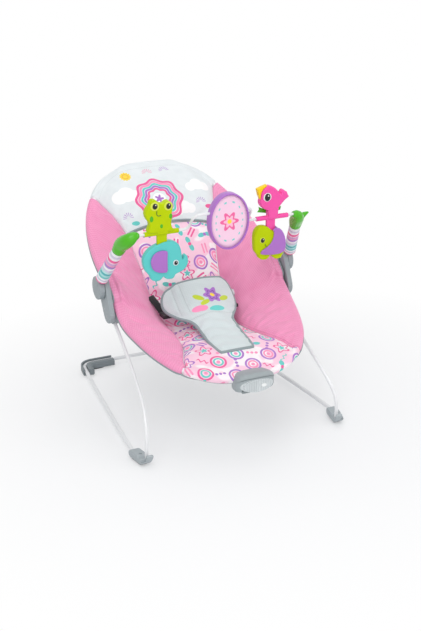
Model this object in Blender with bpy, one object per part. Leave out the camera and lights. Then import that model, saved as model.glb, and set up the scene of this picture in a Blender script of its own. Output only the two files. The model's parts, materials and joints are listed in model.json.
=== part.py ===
"""Baby bouncer: a padded sling seat on wire legs, with a vibration unit, a harness and a swinging toy bar.

Metres, +Z up. The baby's feet point to -Y. While it is modelled, Y = 0 lies at the front foot sockets;
the last step moves the whole to its origin, on the floor below the middle of its footprint box.
"""
import math

import bmesh
import bpy
from mathutils import Matrix, Vector

# Clearances
GAP = 0.0003
SEAM_GAP = 0.0008
RUNNING_GAP = 0.0006
ROUND_SIDES = 8

# Seat outline: half width, front and back end, and the outline as fractions of the two
SEAT_HALF_WIDTH = 0.204
SEAT_FRONT = -0.037
SEAT_BACK = 0.535
SEAT_OUTLINE = (
    (0.0, 0.0), (0.333, 0.014), (0.583, 0.061), (0.765, 0.133), (0.882, 0.220), (0.975, 0.362),
    (0.990, 0.484), (1.0, 0.661), (0.936, 0.792), (0.814, 0.888), (0.613, 0.965), (0.350, 0.993), (0.0, 1.0),
)
# Heights above the floor along Y: the seat's rim, and the middle of the sling
RIM_HEIGHT = (
    (-0.037, 0.163), (0.013, 0.177), (0.063, 0.197), (0.129, 0.216), (0.175, 0.230), (0.213, 0.252),
    (0.260, 0.289), (0.307, 0.312), (0.383, 0.355), (0.451, 0.394), (0.500, 0.430), (0.535, 0.460),
)
SLING_HEIGHT = (
    (-0.037, 0.161), (0.0, 0.176), (0.050, 0.190), (0.100, 0.192), (0.150, 0.188), (0.200, 0.186),
    (0.240, 0.194), (0.270, 0.208), (0.300, 0.236), (0.340, 0.290), (0.390, 0.360), (0.450, 0.416),
    (0.500, 0.449), (0.535, 0.473),
)
# Half width of the sling's floor, where the side wings start to rise
CREASE_HALF_WIDTH = (
    (0.013, 0.134), (0.051, 0.114), (0.093, 0.096), (0.130, 0.085), (0.177, 0.078), (0.206, 0.076),
    (0.257, 0.079), (0.287, 0.083), (0.331, 0.090), (0.385, 0.105), (0.430, 0.105), (0.471, 0.098),
    (0.515, 0.070), (0.535, 0.030),
)
FRONT_SEAM_Y = 0.013
HEAD_SEAM_INNER_Y = SEAT_BACK - 0.150
HEAD_SEAM_OUTER_Y = SEAT_BACK - 0.064
PIPING_BOW = 0.012
PANEL_RISE = 0.005
PANEL_DEPTH = 0.009
CREASE_ROWS = 15
ACROSS_ROWS = 5
CENTRE_COLUMNS = 9

# Steel tubes and wires, by radius
SEAT_TUBE = 0.006
SEAT_TUBE_WALL = 0.0012
TUBE_STEPS = 21
HEM_INNER = 0.0065
HEM_OUTER = 0.0088
TUBE_INSET = 0.0105
PANEL_INSET = TUBE_INSET + HEM_OUTER + SEAM_GAP * 1.5
UPRIGHT_WIRE = 0.004
BASE_WIRE = 0.0045
TOY_WIRE = 0.0030

# Base
BASE_WIRE_Z = 0.0125
BASE_FRONT_X = SEAT_HALF_WIDTH + 0.026
BASE_REAR_X = 0.190
BASE_REAR_Y = 0.487
BASE_CORNER_RADIUS = 0.024
# The base wire's sides: how far out it still is, and how far back
BASE_BEND = ((0.85, 0.20), (0.54, 0.51), (0.30, 0.75))
GRIP_BAR_END_X = 0.114
GRIP_SIDE_END_Y = 0.442
GRIP_TOP_Z = 0.0185
GRIP_OUTER_WALL = 0.0035
GRIP_INNER_WALL = 0.0135
PAD_THICKNESS = 0.0035

# Front feet
FOOT_WIDTH = 0.0225
FOOT_REAR_Y = 0.045
FOOT_REAR_X = BASE_FRONT_X
FOOT_TOE_IN = 0.167
FOOT_TOP_Z = 0.0197
FOOT_NOTCH_Z = 0.0160
FOOT_HOOK_Z = 0.0280
FOOT_HOOK_REACH = 0.0168
FOOT_HOOK_WIDTH = 0.0115
UPRIGHT_FOOT_X = FOOT_REAR_X - 0.012
UPRIGHT_SOCKET_BOTTOM_Z = 0.0065
UPRIGHT_PIVOT_Z = 0.0115
WIRE_SOCKET_DEPTH = 0.022

# Hubs
HUB_TOP = (0.250, 0.2945)
HUB_BOTTOM = (0.2235, 0.2445)
HUB_RADIUS = 0.0250
HUB_LOWER_RADIUS = 0.0215
HUB_BLOCK_IN_X = SEAT_HALF_WIDTH - 0.0208
HUB_SCREWS = ((0.2255, 0.2370), (0.2375, 0.2500))
HUB_SPLIT_X = SEAT_HALF_WIDTH - 0.0007
HUB_PLATE_THICKNESS = 0.0112
HUB_OUT_X = HUB_SPLIT_X + HUB_PLATE_THICKNESS
HUB_MOUNT_Y = 0.251
HUB_TUBE_WEB = 0.003
HUB_STRAIGHT = 0.034
HUB_SOCKET_END = 0.0205
UPRIGHT_TOP = (HUB_SPLIT_X - 0.0063, 0.2460, 0.2325)
UPRIGHT_SLOPE_DEG = 31.0
UPRIGHT_STRAIGHT = 0.030
# The upright's bend between foot and hub: how far out it still is, and its Y and Z
UPRIGHT_BEND = (
    (1.0, 0.0, 0.034), (0.952, 0.001, 0.052), (0.833, 0.009, 0.074), (0.571, 0.030, 0.098), (0.357, 0.058, 0.1185),
    (0.214, 0.090, 0.137), (0.048, 0.135, 0.163),
)
SCREW_HEAD = 0.0032
SCREW_SHANK = 0.0015
SCREW_HEAD_HEIGHT = 0.0018

# Toy bar, in its own plane: X across, Q out from the pivot axis
BAR_LEAN_DEG = 128.7
ARM_LEAN_DEG = 125.5
PIVOT_THICKNESS = 0.0127
PIVOT_BOSS = 0.0065
ARM_ROD = 0.0062
ARM_FOOT_X = HUB_OUT_X + 0.009
ARM_TOP_X = ARM_FOOT_X - 0.0215
ARM_TOP_Q = 0.124
SLEEVE_START_Q = 0.031
SLEEVE_BASE_RADIUS = 0.0132
SLEEVE_TOP_RADIUS = 0.0120
CAP_TIP_X = ARM_TOP_X - 0.0295
CAP_TIP_Q = 0.1825
CAP_RADIUS = 0.0142
TOY_BAR_Q = 0.1825
TOY_X = 0.124
CROSSBAR_HALF = 0.0375
CROSSBAR_RADIUS = 0.0052
HUMP_START_X = 0.069
HUMP_TOP_X = 0.060
HUMP_Q = 0.228

# Toys
TOY_THICKNESS = 0.017
TOY_ROUNDING = 0.0025
LOWER_TOY_THICKNESS = 0.015
STEM_THICKNESS = 0.008
STEM_REACH = 0.034
DISC_X = 0.010
DISC_DROP = 0.020
DISC_HALF_WIDTH = 0.044
DISC_HALF_HEIGHT = 0.059
DISC_THICKNESS = 0.020
DISC_RIM = 0.005

# Vibration unit
UNIT_HALF_WIDTH = 0.0425
UNIT_BACK_Y = -0.0185
UNIT_FRONT_Y = -0.0580
UNIT_BOTTOM_Z = 0.1415
UNIT_SPLIT_Z = 0.1745
UNIT_TOP_Z = 0.1840
UNIT_FLOOR = 0.0065
UNIT_CENTRE_Z = 0.1520
# The shell's sections across X: how far out each lies, its depth and its height
UNIT_STATIONS = (
    (0.0, 1.0, 1.0), (0.35, 0.985, 0.99), (0.65, 0.93, 0.94), (0.85, 0.80, 0.82), (0.95, 0.64, 0.67),
    (1.0, 0.42, 0.46),
)
UNIT_CORE_Y = -0.0300
UNIT_CELL_Y = -0.0450
FACE_HALF_WIDTH = 0.031
FACE_HALF_HEIGHT = 0.0135
FACE_Z = 0.1585
BUTTON_X = 0.0125
BUTTON_HALF_WIDTH = 0.0055
BUTTON_HALF_HEIGHT = 0.0035
BATTERY_RADIUS = 0.00525
BATTERY_LENGTH = 0.0445
MOTOR_RADIUS = 0.0050
MOTOR_LENGTH = 0.0120
UNIT_MOTOR_Z = UNIT_BOTTOM_Z + UNIT_FLOOR + MOTOR_RADIUS + GAP

# Harness: the pad's middle line along Y and Z, its two edges and how far they hang
PAD_LINE = (
    (0.0400, 0.1985), (0.0480, 0.1992), (0.0650, 0.2015), (0.0850, 0.2053), (0.1120, 0.2120), (0.1470, 0.2230),
    (0.1650, 0.2290), (0.1860, 0.2372), (0.2130, 0.2510), (0.2370, 0.2697), (0.2490, 0.2790),
)
PAD_LEFT = (0.034, 0.042, 0.045, 0.048, 0.049, 0.055, 0.066, 0.086, 0.090, 0.078, 0.055)
PAD_RIGHT = (0.034, 0.040, 0.041, 0.042, 0.042, 0.046, 0.057, 0.073, 0.083, 0.070, 0.052)
PAD_DROOPS = (0.0, 0.0, 0.0, 0.001, 0.002, 0.006, 0.010, 0.0165, 0.0205, 0.0140, 0.0090)
PAD_THICK = 0.009
PAD_COLUMNS = 9
BUCKLE_X = {-1: -0.0825, 1: 0.074}
BUCKLE_Y = 0.222
BUCKLE_Z = 0.2192
BUCKLE_WIDTH = 0.020
BUCKLE_LENGTH = 0.026
BUCKLE_HEIGHT = 0.008
BUCKLE_MOUTH = 0.010
BUCKLE_WALL = 0.0020
BUCKLE_TRAVEL = 0.0112
STRAP_WIDTH = 0.016
STRAP_THICKNESS = 0.0016
# The straps from the tongues down to the seat: the left one on its wing, the right one in the crease
STRAP_LINES = {
    -1: ((-0.0905, 0.2560, 0.2345), (-0.0960, 0.2757, 0.2453)),
    1: ((0.0725, 0.2600, 0.2232), (0.0700, 0.2860, 0.2293)),
}


def clear_scene():
    for old in list(bpy.data.objects):
        bpy.data.objects.remove(old, do_unlink=True)


def material(name, colour, roughness, metallic=0.0):
    found = bpy.data.materials.get(name) or bpy.data.materials.new(name)
    found.use_nodes = True
    shader = found.node_tree.nodes["Principled BSDF"]
    shader.inputs["Base Color"].default_value = (*colour, 1.0)
    shader.inputs["Roughness"].default_value = roughness
    shader.inputs["Metallic"].default_value = metallic
    return found


def white_wire():
    return material("white_wire", (0.86, 0.86, 0.86), 0.35, 0.2)


def steel():
    return material("steel", (0.6, 0.6, 0.62), 0.3, 1.0)


def grey_plastic():
    return material("grey_plastic", (0.30, 0.33, 0.35), 0.55)


def dark_rubber():
    return material("dark_rubber", (0.12, 0.13, 0.14), 0.8)


def pink_fabric():
    return material("pink_fabric", (0.90, 0.36, 0.60), 0.9)


def print_fabric():
    return material("print_fabric", (0.95, 0.70, 0.80), 0.9)


def grey_fabric():
    return material("grey_fabric", (0.66, 0.72, 0.71), 0.9)


def lime_plastic():
    return material("lime_plastic", (0.52, 0.68, 0.0), 0.3)


def empty(name, location, parent=None):
    """A pivot: whatever moves about this point is parented to it."""
    pivot = bpy.data.objects.new(name, None)
    bpy.context.scene.collection.objects.link(pivot)
    pivot.empty_display_size = 0.02
    if parent:
        pivot.parent = parent
        pivot.location = Vector(location) - parent.matrix_world.translation
    else:
        pivot.location = location
    bpy.context.view_layer.update()
    return pivot


def face_outward(shape):
    bmesh.ops.recalc_face_normals(shape, faces=shape.faces[:])
    if shape.calc_volume(signed=True) < 0:
        bmesh.ops.reverse_faces(shape, faces=shape.faces[:])


def finish(name, shape, finish_material, parent, smooth_deg=40.0):
    """Turn a bmesh in world coordinates into a named object under its pivot."""
    face_outward(shape)
    mesh = bpy.data.meshes.new(name)
    pivot_place = parent.matrix_world.translation
    bmesh.ops.translate(shape, verts=shape.verts[:], vec=-pivot_place)
    shape.to_mesh(mesh)
    shape.free()
    mesh.materials.append(finish_material)
    mesh.shade_smooth()
    mesh.set_sharp_from_angle(angle=math.radians(smooth_deg))
    obj = bpy.data.objects.new(name, mesh)
    bpy.context.scene.collection.objects.link(obj)
    obj.parent = parent
    return obj


def profile(stations):
    """A smooth curve through (position, value) pairs, as a function of the position."""
    xs = [x for x, _ in stations]
    ys = [y for _, y in stations]
    last = len(xs) - 1
    slopes = []
    for i in range(last + 1):
        low, high = max(i - 1, 0), min(i + 1, last)
        slopes.append((ys[high] - ys[low]) / (xs[high] - xs[low]))

    def value(x):
        x = min(max(x, xs[0]), xs[-1])
        i = next(k for k in range(last) if x <= xs[k + 1])
        span = xs[i + 1] - xs[i]
        t = (x - xs[i]) / span
        a, b = ys[i], ys[i + 1]
        m, n = slopes[i] * span, slopes[i + 1] * span
        return (a * (2 * t**3 - 3 * t**2 + 1) + m * (t**3 - 2 * t**2 + t)
                + b * (3 * t**2 - 2 * t**3) + n * (t**3 - t**2))

    return value


def smooth_curve(points, count, closed=False):
    """Points evenly spaced along a Catmull-Rom curve through the given ones."""
    pts = [Vector(p) for p in points]
    n = len(pts)
    fine = []
    for i in range(n if closed else n - 1):
        if closed:
            a, b, c, d = (pts[(i + k - 1) % n] for k in range(4))
        else:
            a, b, c, d = (pts[min(max(i + k - 1, 0), n - 1)] for k in range(4))
        for k in range(24):
            t = k / 24
            fine.append(0.5 * (2 * b + (c - a) * t + (2 * a - 5 * b + 4 * c - d) * t**2
                               + (3 * b - a - 3 * c + d) * t**3))
    fine.append(fine[0].copy() if closed else pts[-1].copy())
    return even(fine, count + 1)[:-1] if closed else even(fine, count)


def even(points, count):
    """The same polyline with evenly spaced points."""
    lengths = [0.0]
    for a, b in zip(points, points[1:]):
        lengths.append(lengths[-1] + (b - a).length)
    found, k = [], 0
    for i in range(count):
        target = lengths[-1] * i / (count - 1)
        while k < len(points) - 2 and lengths[k + 1] < target:
            k += 1
        step = lengths[k + 1] - lengths[k] or 1.0
        found.append(points[k].lerp(points[k + 1], (target - lengths[k]) / step))
    return found


def path_frames(points, side=Vector((0, 0, 1))):
    """Two directions across the path at each point, carried along it without twist."""
    count = len(points)
    frames = []
    across = None
    for i, point in enumerate(points):
        ahead = (points[min(i + 1, count - 1)] - points[max(i - 1, 0)]).normalized()
        if across is None:
            across = side - ahead * side.dot(ahead)
            if across.length < 1e-4:
                across = ahead.orthogonal()
        across = (across - ahead * across.dot(ahead)).normalized()
        frames.append((across.copy(), ahead.cross(across).normalized()))
    return frames


def ring_points(radius, sides=ROUND_SIDES):
    return [(radius * math.cos(2 * math.pi * k / sides), radius * math.sin(2 * math.pi * k / sides))
            for k in range(sides)]


def sweep_into(shape, points, frames, sections):
    """Carry a closed section along the path; sections holds one outline per point."""
    rings = []
    for point, (u, v), outline in zip(points, frames, sections):
        rings.append([shape.verts.new(point + u * a + v * b) for a, b in outline])
    for low, high in zip(rings, rings[1:]):
        for k in range(len(low)):
            nxt = (k + 1) % len(low)
            shape.faces.new((low[k], low[nxt], high[nxt], high[k]))
    return rings


def rod(points, radius, frames=None, sides=ROUND_SIDES):
    """A solid round bar along the path; the radius may be one value or one for each point."""
    shape = bmesh.new()
    frames = frames or path_frames(points)
    radii = radius if isinstance(radius, (list, tuple)) else [radius] * len(points)
    rings = sweep_into(shape, points, frames, [ring_points(r, sides) for r in radii])
    shape.faces.new(rings[0])
    shape.faces.new(rings[-1])
    return shape


def pipe(points, outer, inner, frames=None, sides=ROUND_SIDES):
    """A hollow round bar along the path."""
    shape = bmesh.new()
    frames = frames or path_frames(points)
    outers = outer if isinstance(outer, (list, tuple)) else [outer] * len(points)
    out = sweep_into(shape, points, frames, [ring_points(r, sides) for r in outers])
    bore = sweep_into(shape, points, frames, [ring_points(inner, sides)] * len(points))
    for a, b in ((out[0], bore[0]), (out[-1], bore[-1])):
        for k in range(sides):
            nxt = (k + 1) % sides
            shape.faces.new((a[k], a[nxt], b[nxt], b[k]))
    return shape


def swept_section(points, section, frames):
    """A bar of any closed section along the path."""
    shape = bmesh.new()
    rings = sweep_into(shape, points, frames, [section] * len(points))
    shape.faces.new(rings[0])
    shape.faces.new(rings[-1])
    return shape


def prism(outline, depth, matrix, bevel=0.0, segments=2):
    """A flat plate: the outline in its own XY plane, raised along +Z, with its long edges rounded."""
    shape = bmesh.new()
    bottom = [shape.verts.new((x, y, 0.0)) for x, y in outline]
    face = shape.faces.new(bottom)
    raised = bmesh.ops.extrude_face_region(shape, geom=[face])
    top = [item for item in raised["geom"] if isinstance(item, bmesh.types.BMVert)]
    bmesh.ops.translate(shape, verts=top, vec=(0, 0, depth))
    bmesh.ops.recalc_face_normals(shape, faces=shape.faces[:])
    if bevel:
        rims = [edge for edge in shape.edges if abs(edge.verts[0].co.z - edge.verts[1].co.z) < 1e-7]
        bmesh.ops.bevel(shape, geom=rims, offset=bevel, segments=segments, profile=0.5, affect="EDGES")
    bmesh.ops.transform(shape, matrix=matrix, verts=shape.verts[:])
    return shape


def grown(outline, distance):
    """The closed outline moved outward."""
    area = sum(a[0] * b[1] - b[0] * a[1] for a, b in zip(outline, outline[1:] + outline[:1]))
    points = [Vector(p) for p in outline]
    moved = []
    for i, point in enumerate(points):
        ahead = (points[(i + 1) % len(points)] - points[i - 1]).normalized()
        outward = Vector((ahead.y, -ahead.x)) * math.copysign(1, area)
        moved.append(tuple(point + outward * distance))
    return moved


def rounded_plate(outline, thickness, matrix, rounding, rings=2):
    """A plump moulded plate: its rim rounds over to flat faces on both sides."""
    shape = bmesh.new()
    drop = thickness / 2 - rounding
    steps = [(-1, math.pi / 2 * (1 - k / rings)) for k in range(rings + 1)]
    steps += [(1, math.pi / 2 * k / rings) for k in range(rings + 1)]
    loops = []
    for side, angle in steps:
        line = grown(outline, -rounding * (1 - math.cos(angle)))
        height = side * (drop + rounding * math.sin(angle))
        loops.append([shape.verts.new((x, y, height)) for x, y in line])
    for low, high in zip(loops, loops[1:]):
        for k in range(len(low)):
            nxt = (k + 1) % len(low)
            shape.faces.new((low[k], low[nxt], high[nxt], high[k]))
    shape.faces.new(loops[0])
    shape.faces.new(loops[-1])
    bmesh.ops.recalc_face_normals(shape, faces=shape.faces[:])
    bmesh.ops.transform(shape, matrix=matrix, verts=shape.verts[:])
    return shape


def round_bar(start, end, radius, sides=12):
    return rod([Vector(start), Vector(end)], radius, sides=sides)


def box_between(low, high, bevel=0.0):
    shape = bmesh.new()
    bmesh.ops.create_cube(shape, size=1.0)
    low, high = Vector(low), Vector(high)
    middle, size = (low + high) / 2, high - low
    for vert in shape.verts:
        vert.co = middle + Vector(vert.co[k] * size[k] for k in range(3))
    if bevel:
        bmesh.ops.bevel(shape, geom=shape.edges[:], offset=bevel, segments=2, profile=0.5, affect="EDGES")
    return shape


def guide(shape, name):
    """A helper solid for a Boolean, kept out of the model."""
    face_outward(shape)
    mesh = bpy.data.meshes.new(name)
    shape.to_mesh(mesh)
    shape.free()
    obj = bpy.data.objects.new(name, mesh)
    bpy.context.scene.collection.objects.link(obj)
    obj.hide_render = True
    obj.display_type = "WIRE"
    return obj


def carve(obj, shapes, operation="DIFFERENCE"):
    """Cut the shapes from the object, or join them to it, and keep the result as its mesh."""
    for index, shape in enumerate(shapes):
        tool = guide(shape, f"{obj.name}_tool_{index}")
        boolean = obj.modifiers.new(tool.name, "BOOLEAN")
        boolean.operation = operation
        boolean.solver = "EXACT"
        boolean.object = tool
    bpy.context.view_layer.update()
    evaluated = obj.evaluated_get(bpy.context.evaluated_depsgraph_get())
    result = bpy.data.meshes.new_from_object(evaluated)
    tools = [modifier.object for modifier in obj.modifiers]
    obj.modifiers.clear()
    obj.data = result
    for tool in tools:
        bpy.data.objects.remove(tool, do_unlink=True)
    return obj


# The seat's own surfaces

rim_height = profile(RIM_HEIGHT)
sling_height = profile(SLING_HEIGHT)
crease_half_width = profile(CREASE_HALF_WIDTH)


def half_outline(inset, count=72):
    """The right half of the seat's outline in plan, from the front middle to the head middle."""
    length = SEAT_BACK - SEAT_FRONT
    right = [Vector((x * SEAT_HALF_WIDTH, SEAT_FRONT + y * length)) for x, y in SEAT_OUTLINE]
    left = [Vector((-p.x, p.y)) for p in right[-2:0:-1]]
    loop = smooth_curve(right + left, count * 2, closed=True)
    half = loop[: count + 1]
    inside = []
    for i, point in enumerate(half):
        ahead = (loop[(i + 1) % len(loop)] - loop[i - 1]).normalized()
        inside.append(point + Vector((-ahead.y, ahead.x)) * inset)
    inside[0].x = inside[-1].x = 0.0
    return inside


RIM_PLAN = half_outline(0.0)
rim_half_width = profile([(p.y, p.x) for p in RIM_PLAN])


def seat_height(x, y):
    """Height of the seat's top surface: a flat sling between two rising, rounded wings."""
    inner, outer = crease_half_width(y), max(rim_half_width(y), 1e-3)
    across = 0.0 if outer <= inner else min(max((abs(x) - inner) / (outer - inner), 0.0), 1.0)
    blend = math.sin(across * math.pi / 2)
    return sling_height(y) * (1 - blend) + rim_height(y) * blend


def part_of(half, y_from, y_to):
    """The stretch of a half outline between two distances along Y, ends included."""
    found = []
    for a, b in zip(half, half[1:]):
        for y in sorted({y_from, y_to}):
            if a.y < y <= b.y:
                found.append(a.lerp(b, (y - a.y) / (b.y - a.y)))
        if y_from < b.y < y_to:
            found.append(b)
    if half[0].y >= y_from:
        found.insert(0, half[0])
    if half[-1].y <= y_to and found[-1] is not half[-1]:
        found.append(half[-1])
    return sorted(found, key=lambda p: p.y)


def mirrored(points):
    return [Vector((-p.x, p.y)) for p in points]


def patch_grid(bottom, top, left, right):
    """A grid of plan points that fills four boundary lines."""
    rows, columns = len(left), len(bottom)
    grid = []
    for j in range(rows):
        t = j / (rows - 1)
        row = []
        for i in range(columns):
            s = i / (columns - 1)
            edges = bottom[i].lerp(top[i], t) + left[j].lerp(right[j], s)
            corners = bottom[0].lerp(bottom[-1], s).lerp(top[0].lerp(top[-1], s), t)
            row.append(edges - corners)
        grid.append(row)
    return grid


def padded_patch(grid):
    """A closed soft panel that follows the seat's surface over the plan grid."""
    shape = bmesh.new()
    layers = []
    for offset in (PANEL_RISE, -PANEL_DEPTH):
        layers.append([[shape.verts.new((p.x, p.y, seat_height(p.x, p.y) + offset)) for p in row] for row in grid])
    top, bottom = layers
    rows, columns = len(grid), len(grid[0])
    for j in range(rows - 1):
        for i in range(columns - 1):
            shape.faces.new((top[j][i], top[j][i + 1], top[j + 1][i + 1], top[j + 1][i]))
            shape.faces.new((bottom[j][i], bottom[j + 1][i], bottom[j + 1][i + 1], bottom[j][i + 1]))
    rim = [(0, i) for i in range(columns - 1)] + [(j, columns - 1) for j in range(rows - 1)]
    rim += [(rows - 1, i) for i in range(columns - 1, 0, -1)] + [(j, 0) for j in range(rows - 1, 0, -1)]
    for (ja, ia), (jb, ib) in zip(rim, rim[1:] + rim[:1]):
        shape.faces.new((top[ja][ia], bottom[ja][ia], bottom[jb][ib], top[jb][ib]))
    return shape


def crease_line(panel_inset_half):
    """The seam between sling and right wing, from the front rim to the head seam."""
    outer = part_of(panel_inset_half, FRONT_SEAM_Y, FRONT_SEAM_Y + 0.001)[0]
    inner = [Vector((crease_half_width(y), y)) for y in (0.051, 0.093, 0.130, 0.177, 0.206, 0.257, 0.287, 0.331)]
    return smooth_curve([outer] + inner + [Vector((crease_half_width(HEAD_SEAM_INNER_Y), HEAD_SEAM_INNER_Y))],
                        CREASE_ROWS)


def shifted(points, dx=0.0, dy=0.0):
    return [Vector((p.x + dx, p.y + dy)) for p in points]


def offset_line(points, distance):
    """The plan line moved sideways, to the right of the way it runs."""
    moved = []
    for i, point in enumerate(points):
        ahead = (points[min(i + 1, len(points) - 1)] - points[max(i - 1, 0)]).normalized()
        moved.append(point + Vector((ahead.y, -ahead.x)) * distance)
    return moved


def build_seat_panels(parent):
    """Four sewn panels: printed sling, head insert and two pink wings."""
    half = half_outline(PANEL_INSET)
    seam = crease_line(half)
    side_gap = SEAM_GAP / 2
    sling_side = offset_line(seam, -side_gap)
    front_arc = part_of(half, SEAT_FRONT, seam[0].y)
    front_arc[-1] = sling_side[0].copy()
    front = even(mirrored(front_arc)[::-1] + front_arc[1:], CENTRE_COLUMNS)
    piping = []
    for i in range(CENTRE_COLUMNS):
        s = 2 * i / (CENTRE_COLUMNS - 1) - 1
        piping.append(Vector((sling_side[-1].x * s, sling_side[-1].y + PIPING_BOW * (1 - s * s) - side_gap)))
    sling_side[-1] = piping[-1].copy()
    finish("centre_panel", padded_patch(patch_grid(front, piping, mirrored(sling_side), sling_side)),
           print_fabric(), parent)

    outer_seam = part_of(half, HEAD_SEAM_OUTER_Y, HEAD_SEAM_OUTER_Y + 0.01)[0]
    wing_inner = offset_line([seam[0].lerp(seam[1], 0.45)] + seam[1:], side_gap)
    wing_outer = even(part_of(half, wing_inner[0].y, HEAD_SEAM_OUTER_Y), CREASE_ROWS)
    front_end = even([wing_inner[0], wing_outer[0]], ACROSS_ROWS)
    head_end = even([wing_inner[-1], wing_outer[-1]], ACROSS_ROWS)
    wing = patch_grid(front_end, head_end, wing_inner, wing_outer)
    finish("wing_right", padded_patch(wing), pink_fabric(), parent)
    finish("wing_left", padded_patch([mirrored(row)[::-1] for row in wing]), pink_fabric(), parent)

    lift = SEAM_GAP
    head_bottom = shifted(piping, dy=lift)
    head_arc = part_of(half, HEAD_SEAM_OUTER_Y, SEAT_BACK)
    head_arc[0] = outer_seam + Vector((0, lift))
    head_top = even((head_arc + mirrored(head_arc[:-1])[::-1])[::-1], CENTRE_COLUMNS)
    head_right = even([head_bottom[-1], head_top[-1]], ACROSS_ROWS + 1)
    head_left = mirrored(head_right)
    finish("head_insert", padded_patch(patch_grid(head_bottom, head_top, head_left, head_right)),
           grey_fabric(), parent)


def tube_route():
    """Centre line of the seat tubes, from the right hub over the head and round the front."""
    half = half_outline(TUBE_INSET, TUBE_STEPS)
    inset_half_width = profile([(p.y, p.x) for p in half])
    hub_y = HUB_MOUNT_Y
    lean = Vector((0, 1, (rim_height(hub_y + 0.02) - rim_height(hub_y - 0.02)) / 0.04)).normalized()
    hub_x = inset_half_width(hub_y)
    at_hub = Vector((hub_x, hub_y, seat_height(hub_x, hub_y)))

    def lifted(plan):
        return [Vector((p.x, p.y, seat_height(p.x, p.y))) for p in plan]

    head = lifted([p for p in half if p.y > hub_y + HUB_STRAIGHT])
    foot = lifted([p for p in half if p.y < hub_y - HUB_STRAIGHT])[::-1]
    start = HUB_TUBE_WEB / 2
    runs = (start, 0.012, HUB_SOCKET_END, HUB_SOCKET_END + 0.005)
    straight = [at_hub + lean * d for d in runs]
    head = straight + head
    straight = [at_hub - lean * d for d in runs]
    foot = straight + foot

    def whole(right):
        left = [Vector((-p.x, p.y, p.z)) for p in right[::-1]]
        joined = right[:-1] + [Vector((0, right[-1].y, right[-1].z))] + left[1:]
        return joined

    return whole(head), whole(foot), at_hub, lean


def build_seat_frame(parent):
    """Two bent tubes in fabric hems, closed by the hub blocks."""
    head, foot, at_hub, lean = tube_route()
    for name, route in (("upper", head), ("lower", foot)):
        frames = path_frames(route, Vector((1, 0, 0)))
        finish(f"{name}_seat_tube", pipe(route, SEAT_TUBE, SEAT_TUBE - SEAT_TUBE_WALL, frames),
               white_wire(), parent)
        hem = slice(2, len(route) - 2)
        finish(f"{name}_hem", pipe(route[hem], HEM_OUTER, HEM_INNER, frames[hem]), grey_fabric(), parent)
    return at_hub, lean


def side_matrix(side, x_from):
    """Maps an outline in (Y, Z) to the plane X = x_from, raised outward on the given side."""
    return Matrix(((0, 0, side, side * x_from), (1, 0, 0, 0), (0, 1, 0, 0), (0, 0, 0, 1)))


def capsule_outline(a, b, radius_a, radius_b, steps=9):
    """The outline round two circles of a plate with round ends."""
    a, b = Vector(a), Vector(b)
    direction = math.atan2((b - a).y, (b - a).x)
    tilt = math.acos((radius_a - radius_b) / (b - a).length)
    points = []
    for k in range(steps + 1):
        turn = direction + tilt + (2 * math.pi - 2 * tilt) * k / steps
        points.append((a.x + radius_a * math.cos(turn), a.y + radius_a * math.sin(turn)))
    for k in range(steps + 1):
        turn = direction - tilt + 2 * tilt * k / steps
        points.append((b.x + radius_b * math.cos(turn), b.y + radius_b * math.sin(turn)))
    return points


def screw(head_centre, inward, length):
    """A pan-head screw; the point is under the head, and the shank runs inward."""
    head_centre, inward = Vector(head_centre), Vector(inward)
    profile_points = [(0.0, SCREW_HEAD), (SCREW_HEAD_HEIGHT, SCREW_HEAD), (SCREW_HEAD_HEIGHT, SCREW_SHANK),
                      (SCREW_HEAD_HEIGHT + length, SCREW_SHANK)]
    points = [head_centre + inward * d for d, _ in profile_points]
    across = inward.orthogonal().normalized()
    frames = [(across, inward.cross(across))] * len(points)
    return rod(points, [r for _, r in profile_points], frames, sides=8)


def screw_hole(head_centre, inward, length):
    """The counterbore and bore that the same screw sits in."""
    head_centre, inward = Vector(head_centre), Vector(inward)
    across = inward.orthogonal().normalized()
    frames = [(across, inward.cross(across))] * 4
    steps = [(-0.01, SCREW_HEAD + GAP), (SCREW_HEAD_HEIGHT + GAP, SCREW_HEAD + GAP),
             (SCREW_HEAD_HEIGHT + GAP, SCREW_SHANK + GAP), (SCREW_HEAD_HEIGHT + length + GAP, SCREW_SHANK + GAP)]
    points = [head_centre + inward * d for d, _ in steps]
    return rod(points, [r for _, r in steps], frames, sides=8)


def upright_route(side):
    x, top = UPRIGHT_FOOT_X, Vector(UPRIGHT_TOP)
    slope = Vector((0, math.cos(math.radians(UPRIGHT_SLOPE_DEG)), math.sin(math.radians(UPRIGHT_SLOPE_DEG))))
    points = [Vector((x, 0, UPRIGHT_SOCKET_BOTTOM_Z + GAP))]
    points += [Vector((top.x + (x - top.x) * out, y, z)) for out, y, z in UPRIGHT_BEND]
    points += [top - slope * UPRIGHT_STRAIGHT, top]
    bend = smooth_curve(points[1:-1], 20)
    route = [points[0]] + bend + [top]
    return [Vector((side * p.x, p.y, p.z)) for p in route], slope


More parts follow.
